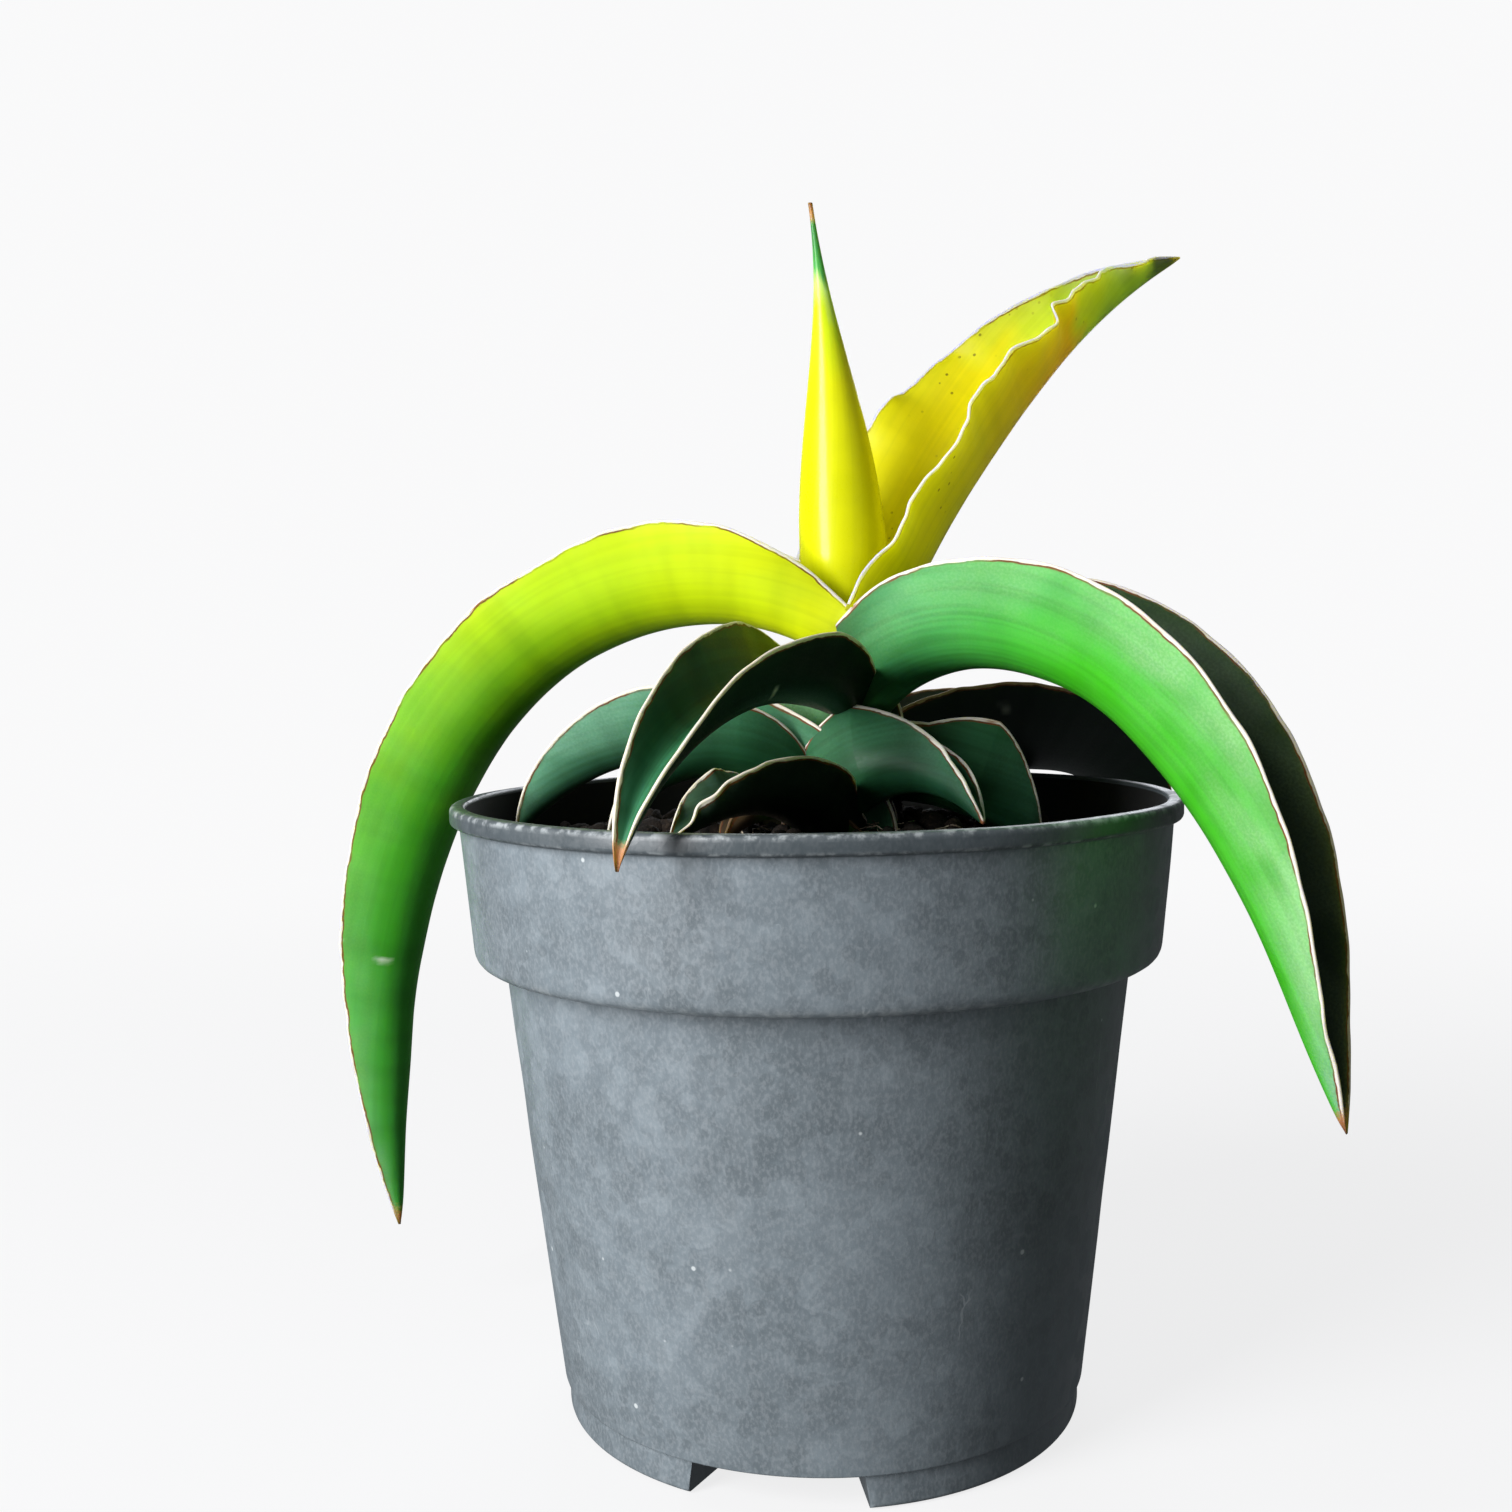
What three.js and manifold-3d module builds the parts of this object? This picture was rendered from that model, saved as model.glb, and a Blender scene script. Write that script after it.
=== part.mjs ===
// A potted snake plant: a young plant with channelled, arching leaves on a short stem, in a nursery pot.
// Millimetres, +Z up, -Y towards whoever faces it. The origin is the middle of the pot's underside.
import * as THREE from 'three';
import { mergeVertices } from 'three/addons/utils/BufferGeometryUtils.js';
import Module from 'manifold-3d';

const wasm = await Module();
wasm.setup();

// ---------------------------------------------------------------- driving dimensions
const gap = 0.3;              // clearance that touching pieces keep

const rimRadius = 60;         // outside of the rolled rim
const potHeight = 100.5;
const wall = 1;               // thickness of the moulded plastic
const floorThickness = 1.2;
const lip = 1.5;              // how far the rim stands out from the collar
const lipHeight = 3;
const collarHeight = 25.5;    // top of the rim to the underside of the step
const collarTaper = 2;        // radius lost down the collar
const stepWidth = 4.7;        // how far the step goes in under the collar
const stepRound = 3.5;        // rounding of the collar's lower corner
const bodyTaper = 8.2;        // radius lost from the step to the foot
const footHeight = 5.3;
const footInset = 0.8;        // how far the foot ring is set in from the body
const footRound = 0.8;
const notchCount = 3;         // drainage notches between the foot's sectors
const notchSpan = 36;         // degrees
const notchHeading = 258.4;   // degrees, the middle of the first notch
const notchDepth = 12;        // how far a notch runs in under the pot
const drainRadius = 3;
const edgeRound = 0.75;       // rounding of the rim's edges
const potSides = 40;

const soilDrop = 9.5;         // top of the rim to the soil at the wall
const soilMound = 3.5;        // how much higher the soil is round the stem
const soilBump = 0.7;

const stemHeight = 37;        // stem above the soil at the wall
const stemRadius = 6.5;       // at the soil
const stemTopRadius = 4.5;
const stemFoot = [1, 0];
const stemTop = [6, 1.5];
const rhizomeRadius = 8;
const rhizomeLength = 30;
const rhizomeDepth = 24;      // below the soil at the wall
const rhizomeHeading = 155;   // degrees
const rootRadius = 2;
const rootTipRadius = 1;
const rootHeadings = [20, 95, 170, 235, 300];
const stemSides = 12;
const rootSides = 8;

const spearLength = 70;
const spearRadius = 6.9;
const spearTipRadius = 0.3;
const spearNeck = 12;         // height of the narrower neck at its foot
const spearLean = [-4, 1];    // sideways travel of the tip
const leafThickness = 2.6;    // at the midrib
const marginShare = 0.28;     // thickness at the margin as a share of that
const keelShare = 0.6;        // share of each half that curves up out of the keel
const tipHalfWidth = 0.35;
const leafRings = 14;
const leafColumns = 6;

// ---------------------------------------------------------------- sizes that follow
const collarRadius = rimRadius - lip;
const collarFootRadius = collarRadius - collarTaper;
const bodyRadius = collarFootRadius - stepWidth;
const bodyFootRadius = bodyRadius - bodyTaper;
const footRadius = bodyFootRadius - footInset;
const stepLevel = potHeight - collarHeight;
const soilLevel = potHeight - soilDrop;

// The leaves, inner ones first. Where two meet, the one named earlier keeps its shape.
//   foot     where the midrib leaves the stem: x, y and height above the soil at the wall
//   heading  degrees round from +X; veer is how far it turns on the way to the tip
//   rise     slope of the midrib at the foot, and fall at the tip, in degrees
//   bend     above 1 the leaf arches early, below 1 it arches late
//   broad    where along its length the leaf is widest; base is the width at the foot as a share of that
//   taper    above 1 the leaf stays broad and then narrows fast
//   fold     slope of the channel's sides at the foot, the middle and the tip, in degrees
//   roll     twist about the midrib at the foot and the tip, in degrees
//   sheath   straight stretch behind the foot that reaches in to the stem
const leaves = [
  { name: 'long_right_leaf', colour: '#4f9f3a',
    foot: [11.3, -4.3, 24.1], heading: -38.7, veer: 1, rise: 44.3, fall: -69, bend: 2.43,
    length: 113, width: 40.2, broad: 0.36, base: 0.72, taper: 1.88, fold: [71.6, 69, 46.8], roll: [-7, -3.3],
    sheath: 9 },
  { name: 'upper_right_leaf', colour: '#b9b317',
    foot: [11.3, 1.7, 33.6], heading: 32, veer: -3, rise: 63, fall: 23, bend: 0.74,
    length: 101.5, width: 40.6, broad: 0.39, base: 1.05, taper: 1.06, fold: [49, 53, 95], roll: [-10, 20],
    sheath: 1 },
  { name: 'long_left_leaf', colour: '#9cc400',
    foot: [3.4, -3.5, 32.9], heading: 156.6, veer: 2.4, rise: 31.9, fall: -89.3, bend: 1.97,
    length: 170.5, width: 38.4, broad: 0.16, base: 0.58, taper: 2.44, fold: [64, 60, 58], roll: [6.7, 8.3],
    sheath: 1 },
  { name: 'front_left_leaf', colour: '#1f3a26',
    foot: [3.9, -5.4, 23.4], heading: 240.6, veer: 1.2, rise: 15.7, fall: -78.8, bend: 0.5,
    length: rimRadius + 13, width: 27.5, broad: 0.26, base: 0.6, taper: 1.5, fold: [57, 70, 66],
    roll: [-4.3, -12], sheath: 3 },
  { name: 'back_right_leaf', colour: '#17301f',
    foot: [5.5, 5, 3.3], heading: 43.8, veer: 5.4, rise: 19, fall: -92.8, bend: 0.36,
    length: rimRadius + 55, width: 41, broad: 0.35, base: 0.71, taper: 2, fold: [80, 58, 53.5],
    roll: [-18, 24.5], sheath: 1 },
  { name: 'back_left_leaf', colour: '#3f7a55',
    foot: [1.5, 1.7, 8.3], heading: 168.5, veer: -1.6, rise: 39.9, fall: -47.9, bend: 1.12,
    length: rimRadius + 1, width: 29.9, broad: 0.34, base: 0.8, taper: 1.97, fold: [61, 56, 49],
    roll: [6.4, 11.2], sheath: 1 },
  { name: 'front_right_leaf', colour: '#2f6a48',
    foot: [2.7, -5.7, 3.6], heading: -30, veer: -20, rise: 58, fall: -41.2, bend: 1.1,
    length: 33.6, width: 31, broad: 0.35, base: 0.5, taper: 0.9, fold: [76, 76, 66], roll: [-26, -26],
    sheath: 3 },
  { name: 'right_short_leaf', colour: '#2b5a4a',
    foot: [16.8, -2.2, 8.9], heading: 2, veer: 2, rise: -9, fall: -40, bend: 1.1,
    length: 23.4, width: 33.5, broad: 0.35, base: 0.8, taper: 1.2, fold: [80, 80, 72], roll: [-12, -12],
    sheath: 9 },
  { name: 'front_low_leaf', colour: '#25543d',
    foot: [1.9, -8.5, 1.3], heading: 239.7, veer: -13.7, rise: 40.4, fall: -23.2, bend: 1.08,
    length: 42, width: 21, broad: 0.35, base: 0.8, taper: 1.8, fold: [62, 62, 50], roll: [12, 8],
    sheath: 3 },
  { name: 'left_low_leaf', colour: '#3c7a3f',
    foot: [-3.7, -4.5, 7.3], heading: 200, veer: 7, rise: 56.2, fall: -59.8, bend: 1.2,
    length: rimRadius - 21, width: 21.8, broad: 0.35, base: 0.5, taper: 1.1, fold: [78, 78, 70],
    roll: [22, 22], sheath: 3 },
];

// ---------------------------------------------------------------- solids
const radians = THREE.MathUtils.degToRad;
const vector = (x, y, z) => new THREE.Vector3(x, y, z);

/** A closed three.js geometry as a manifold-3d solid. */
function toSolid(geometry) {
  const bare = geometry.clone();
  bare.deleteAttribute('normal');
  bare.deleteAttribute('uv');
  const merged = mergeVertices(bare, 1e-4);
  const index = merged.index.array;
  const triVerts = [];
  for (let i = 0; i < index.length; i += 3) {
    const [a, b, c] = index.slice(i, i + 3);
    if (a !== b && b !== c && c !== a) triVerts.push(a, b, c);
  }
  return new wasm.Manifold(new wasm.Mesh({
    numProp: 3,
    vertProperties: Float32Array.from(merged.attributes.position.array),
    triVerts: Uint32Array.from(triVerts),
  }));
}

/** A manifold-3d solid as a three.js geometry. */
function toGeometry(solid) {
  const { vertProperties, triVerts } = solid.getMesh();
  const geometry = new THREE.BufferGeometry();
  geometry.setAttribute('position', new THREE.BufferAttribute(vertProperties, 3));
  geometry.setIndex(new THREE.BufferAttribute(triVerts, 1));
  return geometry;
}

/** The largest body of a solid that a cut has trimmed. */
function largest(solid) {
  const bodies = solid.decompose();
  return bodies.reduce((best, body) => (body.volume() > best.volume() ? body : best));
}

/** Rings of equally many points, each closed on itself, joined into one solid with flat strips for ends. */
function loft(rings) {
  const count = rings[0].length;
  const positions = rings.flat().flatMap((point) => point.toArray());
  const index = [];
  for (let r = 0; r + 1 < rings.length; r += 1) {
    for (let k = 0; k < count; k += 1) {
      const next = (k + 1) % count;
      const [a, b] = [r * count + k, r * count + next];
      index.push(a, b, b + count, a, b + count, a + count);
    }
  }
  const last = (rings.length - 1) * count;
  for (let k = 0; 2 * k + 3 <= count; k += 1) {
    const far = count - 1 - k;
    if (k + 1 < far) {
      index.push(k, far, k + 1);
      index.push(last + k, last + k + 1, last + far);
    }
    if (k + 1 < far - 1) {
      index.push(k + 1, far, far - 1);
      index.push(last + k + 1, last + far - 1, last + far);
    }
  }
  const geometry = new THREE.BufferGeometry();
  geometry.setAttribute('position', new THREE.Float32BufferAttribute(positions, 3));
  geometry.setIndex(index);
  return toSolid(geometry);
}

/** A round tube along a smooth curve, grown sideways and at both ends by the given amount. */
function tube(curve, radiusAt, grow, sides, steps) {
  const frames = curve.computeFrenetFrames(steps, false);
  const rings = [];
  for (let s = 0; s <= steps; s += 1) {
    const past = grow * ((s === steps) - (s === 0));
    const centre = curve.getPointAt(s / steps).addScaledVector(frames.tangents[s], past);
    const radius = radiusAt(s / steps) + grow;
    rings.push(Array.from({ length: sides }, (_, k) => {
      const turn = (2 * Math.PI * k) / sides;
      return centre.clone()
        .addScaledVector(frames.normals[s], radius * Math.cos(turn))
        .addScaledVector(frames.binormals[s], radius * Math.sin(turn));
    }));
  }
  return loft(rings);
}

/** A profile of [radius, height] points turned about the vertical axis. */
function turned(profile, sides = potSides) {
  const points = profile.map(([radius, height]) => new THREE.Vector2(radius, height));
  return toSolid(new THREE.LatheGeometry(points, sides).rotateX(Math.PI / 2));
}

/** Points of a rounded corner, from angle start to angle end in degrees. */
function round(centreRadius, centreHeight, radius, start, end, steps = 3) {
  return Array.from({ length: steps + 1 }, (_, i) => {
    const angle = radians(start + ((end - start) * i) / steps);
    return [centreRadius + radius * Math.cos(angle), centreHeight + radius * Math.sin(angle)];
  });
}

// ---------------------------------------------------------------- pot
/** The pot's outside, from the middle of its underside up to the middle of its mouth. */
function potOutside() {
  return [
    [0, 0],
    ...round(footRadius - footRound, footRound, footRound, -90, 0, 2),
    [footRadius, footHeight],
    [bodyFootRadius, footHeight],
    [bodyRadius, stepLevel],
    ...round(collarFootRadius - stepRound, stepLevel + stepRound, stepRound, -90, 0),
    [collarRadius, potHeight - lipHeight],
    [rimRadius, potHeight - lipHeight + edgeRound],
    [rimRadius, potHeight - edgeRound],
    [rimRadius - edgeRound, potHeight],
    [0, potHeight],
  ];
}

/** The pot's inside, a wall's thickness in from its outside and then inset further by clearance. */
function potInside(clearance, top) {
  const inset = wall + clearance;
  return [
    [0, floorThickness + clearance],
    [footRadius - inset, floorThickness + clearance],
    [footRadius - inset, footHeight + inset],
    [bodyFootRadius - inset, footHeight + 2 * inset],
    [bodyRadius - inset, stepLevel + inset],
    ...round(collarFootRadius - stepRound, stepLevel + stepRound, stepRound - inset, -90, 0),
    [collarRadius - inset, top],
    [0, top],
  ];
}

/** The drainage notches under the pot, each grown by the given amount. */
function notches(grow) {
  const inner = footRadius - notchDepth - grow;
  const half = radians(notchSpan / 2) + grow / footRadius;
  const height = footHeight + grow;
  const below = 1;
  let all = null;
  for (let i = 0; i < notchCount; i += 1) {
    const middle = radians(notchHeading) + (2 * Math.PI * i) / notchCount;
    const outline = new THREE.Shape();
    outline.absarc(0, 0, inner, middle - half, middle + half, false);
    outline.absarc(0, 0, rimRadius, middle + half, middle - half, true);
    const block = new THREE.ExtrudeGeometry(outline, {
      depth: height + below, bevelEnabled: false, curveSegments: 6,
    });
    const solid = toSolid(block.translate(0, 0, -below));
    all = all ? all.add(solid) : solid;
  }
  return all;
}

/** One drain hole through the roof of each notch. */
function drains() {
  const reach = footRadius - notchDepth / 2;
  let all = null;
  for (let i = 0; i < notchCount; i += 1) {
    const middle = radians(notchHeading) + (2 * Math.PI * i) / notchCount;
    const hole = new THREE.CylinderGeometry(drainRadius, drainRadius, 2 * footHeight, 12);
    hole.rotateX(Math.PI / 2).translate(reach * Math.cos(middle), reach * Math.sin(middle), footHeight);
    const solid = toSolid(hole);
    all = all ? all.add(solid) : solid;
  }
  return all;
}

function nurseryPot() {
  const hollow = turned(potInside(0, potHeight + 1)).subtract(notches(wall));
  return turned(potOutside()).subtract(notches(0)).subtract(hollow).subtract(drains());
}

// ---------------------------------------------------------------- stem, rhizome and roots
/** The short stem, the stout rhizome that it grows from and the roots, as one growth. */
function stemAndRoots(grow) {
  const foot = vector(stemFoot[0], stemFoot[1], soilLevel - rhizomeDepth);
  const top = vector(stemTop[0], stemTop[1], soilLevel + stemHeight);
  const middle = foot.clone().lerp(top, 0.5).add(vector(-0.6, 0, 0));
  const stemCurve = new THREE.CatmullRomCurve3([foot, middle, top]);
  const stemAt = (s) => THREE.MathUtils.lerp(stemRadius, stemTopRadius, s);
  let growth = tube(stemCurve, stemAt, grow, stemSides, 6);

  const along = vector(Math.cos(radians(rhizomeHeading)), Math.sin(radians(rhizomeHeading)), -0.15);
  const rhizomeCurve = new THREE.LineCurve3(
    foot.clone().addScaledVector(along, -rhizomeRadius),
    foot.clone().addScaledVector(along, rhizomeLength - rhizomeRadius),
  );
  const bulge = (s) => rhizomeRadius * Math.sqrt(Math.max(0.12, 1 - (2 * s - 1) ** 4));
  growth = growth.add(tube(rhizomeCurve, bulge, grow, stemSides, 8));

  const rootAt = (s) => THREE.MathUtils.lerp(rootRadius, rootTipRadius, s);
  const bedDepth = foot.z - floorThickness - rhizomeRadius;
  rootHeadings.forEach((heading, i) => {
    const out = vector(Math.cos(radians(heading)), Math.sin(radians(heading)), 0);
    const start = foot.clone().addScaledVector(along, (i * rhizomeLength) / 12);
    const spread = bodyFootRadius * 0.5;
    const curve = new THREE.CatmullRomCurve3([
      start,
      start.clone().addScaledVector(out, spread * 0.7).add(vector(0, 0, -0.2 * bedDepth)),
      start.clone().addScaledVector(out, spread).add(vector(0, 0, -0.75 * bedDepth)),
    ]);
    growth = growth.add(tube(curve, rootAt, grow, rootSides, 8));
  });
  return growth;
}

// ---------------------------------------------------------------- leaves
/** Runs smoothly from a through b, halfway, to c. */
function through([a, b, c], t) {
  const ease = THREE.MathUtils.smoothstep;
  return t < 0.5 ? a + (b - a) * ease(t, 0, 0.5) : b + (c - b) * ease(t, 0.5, 1);
}

/** Half the leaf's width at t, from 0 at the foot to 1 at the tip. */
function halfWidth(leaf, t) {
  const rising = leaf.base + (1 - leaf.base) * Math.sin((Math.PI / 2) * Math.min(1, t / leaf.broad));
  const falling = 1 - Math.max(0, (t - leaf.broad) / (1 - leaf.broad)) ** leaf.taper;
  return ((t < leaf.broad ? rising : falling) * leaf.width) / 2 + tipHalfWidth;
}

/** The midrib's points and directions, stepped along the leaf, with its sideways and upward directions. */
function midrib(leaf, rings, grow) {
  const start = -(leaf.sheath + grow) / leaf.length;
  const step = (1 + grow / leaf.length - start) / rings;
  const fine = 12;
  const point = vector(leaf.foot[0], leaf.foot[1], soilLevel + leaf.foot[2]);
  const directionAt = (t) => {
    const clamped = THREE.MathUtils.clamp(t, 0, 1);
    const arch = 1 - (1 - clamped) ** leaf.bend;
    const pitch = radians(leaf.rise + (leaf.fall - leaf.rise) * arch);
    const heading = radians(leaf.heading + leaf.veer * clamped);
    return vector(Math.cos(pitch) * Math.cos(heading), Math.cos(pitch) * Math.sin(heading), Math.sin(pitch));
  };
  point.addScaledVector(directionAt(0), start * leaf.length);
  const stations = [];
  for (let r = 0; r <= rings; r += 1) {
    const t = start + step * r;
    const along = directionAt(t);
    const heading = radians(leaf.heading + leaf.veer * Math.max(0, t));
    const side = vector(-Math.sin(heading), Math.cos(heading), 0);
    const up = along.clone().cross(side);
    const twist = radians(leaf.roll[0] + (leaf.roll[1] - leaf.roll[0]) * Math.max(0, t));
    stations.push({
      t: THREE.MathUtils.clamp(t, 0, 1),
      point: point.clone(),
      side: side.clone().multiplyScalar(Math.cos(twist)).addScaledVector(up, Math.sin(twist)),
      up: up.clone().multiplyScalar(Math.cos(twist)).addScaledVector(side, -Math.sin(twist)),
    });
    for (let k = 0; k < fine; k += 1) {
      point.addScaledVector(directionAt(t + (step * (k + 0.5)) / fine), (step * leaf.length) / fine);
    }
  }
  return stations;
}

/** One channelled leaf as a solid, thickest along its keel and thin at its margins. */
function leafSolid(leaf, grow) {
  const fine = 24;
  const rings = midrib(leaf, leafRings, grow).map(({ t, point, side, up }) => {
    const half = halfWidth(leaf, t) + grow;
    const fold = radians(through(leaf.fold, t));
    const slopeAt = (u) => fold * Math.sin((Math.PI / 2) * Math.min(1, Math.abs(u) / keelShare));
    const upper = [];
    const lower = [];
    for (let k = 0; k <= leafColumns; k += 1) {
      const u = (2 * k) / leafColumns - 1;
      let across = 0;
      let rise = 0;
      for (let f = 0; f < fine; f += 1) {
        const slope = slopeAt((Math.abs(u) * (f + 0.5)) / fine);
        across += (Math.cos(slope) * Math.abs(u)) / fine;
        rise += (Math.sin(slope) * Math.abs(u)) / fine;
      }
      const slope = slopeAt(u) * Math.sign(u);
      const share = (half / (half + 3)) * (1 - (1 - marginShare) * u * u);
      const thick = (leafThickness / 2) * share + grow;
      const middle = point.clone()
        .addScaledVector(side, half * across * Math.sign(u))
        .addScaledVector(up, half * rise);
      const facing = side.clone().multiplyScalar(-Math.sin(slope)).addScaledVector(up, Math.cos(slope));
      upper.push(middle.clone().addScaledVector(facing, thick));
      lower.push(middle.clone().addScaledVector(facing, -thick));
    }
    return [...lower, ...upper.reverse()];
  });
  return loft(rings);
}

/** The youngest leaf, still rolled into a spear that stands on top of the stem. */
function spear(grow) {
  const foot = vector(stemTop[0], stemTop[1], soilLevel + stemHeight + gap);
  const tip = foot.clone().add(vector(spearLean[0], spearLean[1], spearLength));
  const middle = foot.clone().lerp(tip, 0.5).add(vector(1, 0, 0));
  const curve = new THREE.CatmullRomCurve3([foot, middle, tip]);
  const narrow = spearNeck / spearLength;
  const radiusAt = (s) => {
    const swell = 0.6 + 0.4 * THREE.MathUtils.smoothstep(s, 0, narrow);
    const above = Math.max(0, (s - narrow) / (1 - narrow));
    return swell * spearRadius * Math.cos((Math.PI / 2) * above) ** 2 + spearTipRadius;
  };
  return tube(curve, radiusAt, grow, stemSides, 14);
}

/** What is left of an old leaf, dried off just above the soil. */
const oldLeaf = { name: 'old_leaf_base', colour: '#5c6b2f',
  foot: [1, -6.5, 3.5], heading: 190, veer: 12, rise: 42, fall: -50, bend: 1,
  length: 19, width: 14, broad: 0.4, base: 0.8, taper: 2.2, fold: [50, 45, 30], roll: [0, 0], sheath: 2 };

// ---------------------------------------------------------------- soil
/** Potting soil filling the pot, mounded and uneven on top, before anything is planted in it. */
function soilBed() {
  const edge = collarRadius - wall - gap - (collarTaper * soilDrop) / collarHeight;
  const top = [0.97, 0.8, 0.6, 0.4, 0.2].map((share) => [edge * share, soilLevel + soilMound * (1 - share ** 2)]);
  const profile = potInside(gap, soilLevel).slice(0, -2);
  profile.push([edge, soilLevel], ...top, [0, soilLevel + soilMound]);
  const points = profile.map(([radius, height]) => new THREE.Vector2(radius, height));
  const geometry = new THREE.LatheGeometry(points, potSides).rotateX(Math.PI / 2);
  const place = geometry.attributes.position;
  for (let i = 0; i < place.count; i += 1) {
    const [x, y, z] = [place.getX(i), place.getY(i), place.getZ(i)];
    const inward = Math.min(1, Math.max(0, 1 - Math.hypot(x, y) / edge) * 8);
    if (z >= soilLevel) {
      place.setZ(i, z + soilBump * inward * (Math.sin(x / 5 + 1) * Math.cos(y / 6) + 0.5 * Math.sin((x + y) / 3)));
    }
  }
  return toSolid(geometry).subtract(notches(wall + gap));
}

// ---------------------------------------------------------------- assembly
const plant = new THREE.Group();

/** Adds one named piece. */
function place(name, solid, colour, roughness) {
  const material = new THREE.MeshStandardMaterial({ color: colour, roughness, metalness: 0 });
  const mesh = new THREE.Mesh(toGeometry(solid), material);
  mesh.name = name;
  plant.add(mesh);
}

const grownStem = stemAndRoots(gap);
place('nursery_pot', nurseryPot(), '#4c5357', 0.6);
place('stem_rhizome_and_roots', stemAndRoots(0), '#a9b060', 0.6);
place('spear_leaf', spear(0).subtract(grownStem), '#e6e414', 0.4);

// Each leaf is trimmed by the stem, by the spear and by every leaf named before it.
let bed = soilBed().subtract(grownStem);
const earlier = [spear(gap)];
for (const leaf of [...leaves, oldLeaf]) {
  const blade = leafSolid(leaf, 0);
  const trimmed = largest(earlier.reduce((solid, other) => solid.subtract(other), blade.subtract(grownStem)));
  place(leaf.name, trimmed, leaf.colour, 0.45);
  const grownLeaf = leafSolid(leaf, gap);
  earlier.push(grownLeaf);
  bed = bed.subtract(grownLeaf);
}
place('potting_soil', largest(bed), '#1d1712', 0.95);

export default plant;
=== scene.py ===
# %% [markdown]
# # A young snake plant in a nursery pot
#
# The plant is a short stemmed sansevieria. Its leaves are stiff, fleshy gutters that arch out of a
# spiral, each with a thin horny margin. The youngest leaf is still rolled into a yellow spear.
# It grows in black peat, in a thin moulded pot with a stepped collar.
#
# Everything is worked out in millimetres with numpy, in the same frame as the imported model:
# the origin is the middle of the pot's underside, +Z is up and -Y faces the viewer.

# %% Frame
import math

import bmesh
import bpy
import numpy as np
from mathutils import Matrix, Vector


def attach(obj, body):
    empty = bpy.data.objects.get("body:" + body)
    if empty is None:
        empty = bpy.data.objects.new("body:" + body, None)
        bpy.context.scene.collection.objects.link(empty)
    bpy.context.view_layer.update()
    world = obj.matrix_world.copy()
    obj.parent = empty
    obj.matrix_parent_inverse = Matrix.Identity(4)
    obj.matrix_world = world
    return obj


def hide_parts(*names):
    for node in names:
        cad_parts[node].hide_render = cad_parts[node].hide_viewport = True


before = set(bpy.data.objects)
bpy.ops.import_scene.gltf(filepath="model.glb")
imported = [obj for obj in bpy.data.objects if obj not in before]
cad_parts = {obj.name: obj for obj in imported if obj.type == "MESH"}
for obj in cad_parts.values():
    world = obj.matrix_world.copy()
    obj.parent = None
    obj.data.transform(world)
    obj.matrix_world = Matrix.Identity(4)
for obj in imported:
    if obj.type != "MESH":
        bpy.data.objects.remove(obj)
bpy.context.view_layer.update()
MM = 0.001

# %% [markdown]
# ## Camera
#
# The camera comes first, because how finely anything is modelled depends on how it is seen. It stands
# a quarter of a metre in front of the pot, a little above the rim, and looks slightly down. So near a
# lens makes the rim a shallow ellipse and the front leaves large. It leans about a degree.

# %% Camera
camera_place = Vector((-9.36, -267.1, 123.88)) * MM
camera_down = math.radians(3.599)
camera_turn = math.radians(0.04)
camera_lean = math.radians(-0.993)
lens = 38.1
sensor = 36.0

ahead = Vector((
    -math.sin(camera_turn) * math.cos(camera_down),
    math.cos(camera_turn) * math.cos(camera_down),
    -math.sin(camera_down),
))
level_right = ahead.cross(Vector((0, 0, 1))).normalized()
level_up = level_right.cross(ahead)
right = level_right * math.cos(camera_lean) + level_up * math.sin(camera_lean)
up = level_up * math.cos(camera_lean) - level_right * math.sin(camera_lean)

camera_data = bpy.data.cameras.new("camera")
camera_data.lens = lens
camera_data.sensor_width = sensor
camera_data.clip_start = 0.01
camera = bpy.data.objects.new("camera", camera_data)
bpy.context.scene.collection.objects.link(camera)
turned = Matrix((right, up, -ahead)).transposed().to_4x4()
camera.matrix_world = Matrix.Translation(camera_place) @ turned
bpy.context.scene.camera = camera
bpy.context.scene.view_settings.view_transform = "Standard"
print("camera at", [round(v / MM) for v in camera_place], "mm")

# %% [markdown]
# ## Sizes
#
# The pot's sizes are those of a common 12 cm nursery pot. The soil and stem follow from them.

# %% Sizes in millimetres
rim_radius = 60
pot_height = 100.5
wall = 1.0
floor_thickness = 1.2
lip = 1.5
lip_height = 3.0
collar_height = 25.5
collar_taper = 2.0
step_width = 4.7
step_round = 3.5
body_taper = 8.2
foot_height = 5.3
foot_inset = 0.8
notch_count = 3
notch_span = 36
notch_heading = 258.4
notch_depth = 12
soil_drop = 9.5
soil_mound = 3.5
clearance = 0.3

collar_radius = rim_radius - lip
collar_foot = collar_radius - collar_taper
body_radius = collar_foot - step_width
body_foot = body_radius - body_taper
foot_radius = body_foot - foot_inset
step_level = pot_height - collar_height
soil_level = pot_height - soil_drop
print("soil level", soil_level, "mm, foot radius", foot_radius, "mm")

# %% [markdown]
# ## Working with surfaces
#
# Nearly every piece here is a tube of some kind: a leaf is a flattened tube, a pot is a tube turned
# about an axis. So one function takes rings of points and closes them into a skin. A second one
# gives smooth random numbers in space, for everything that grew or wore unevenly.

# %% Surface helpers
def smoothstep(x):
    """3x^2 - 2x^3, held at 0 below 0 and at 1 above 1."""
    x = np.clip(x, 0, 1)
    return x * x * (3 - 2 * x)


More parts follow.
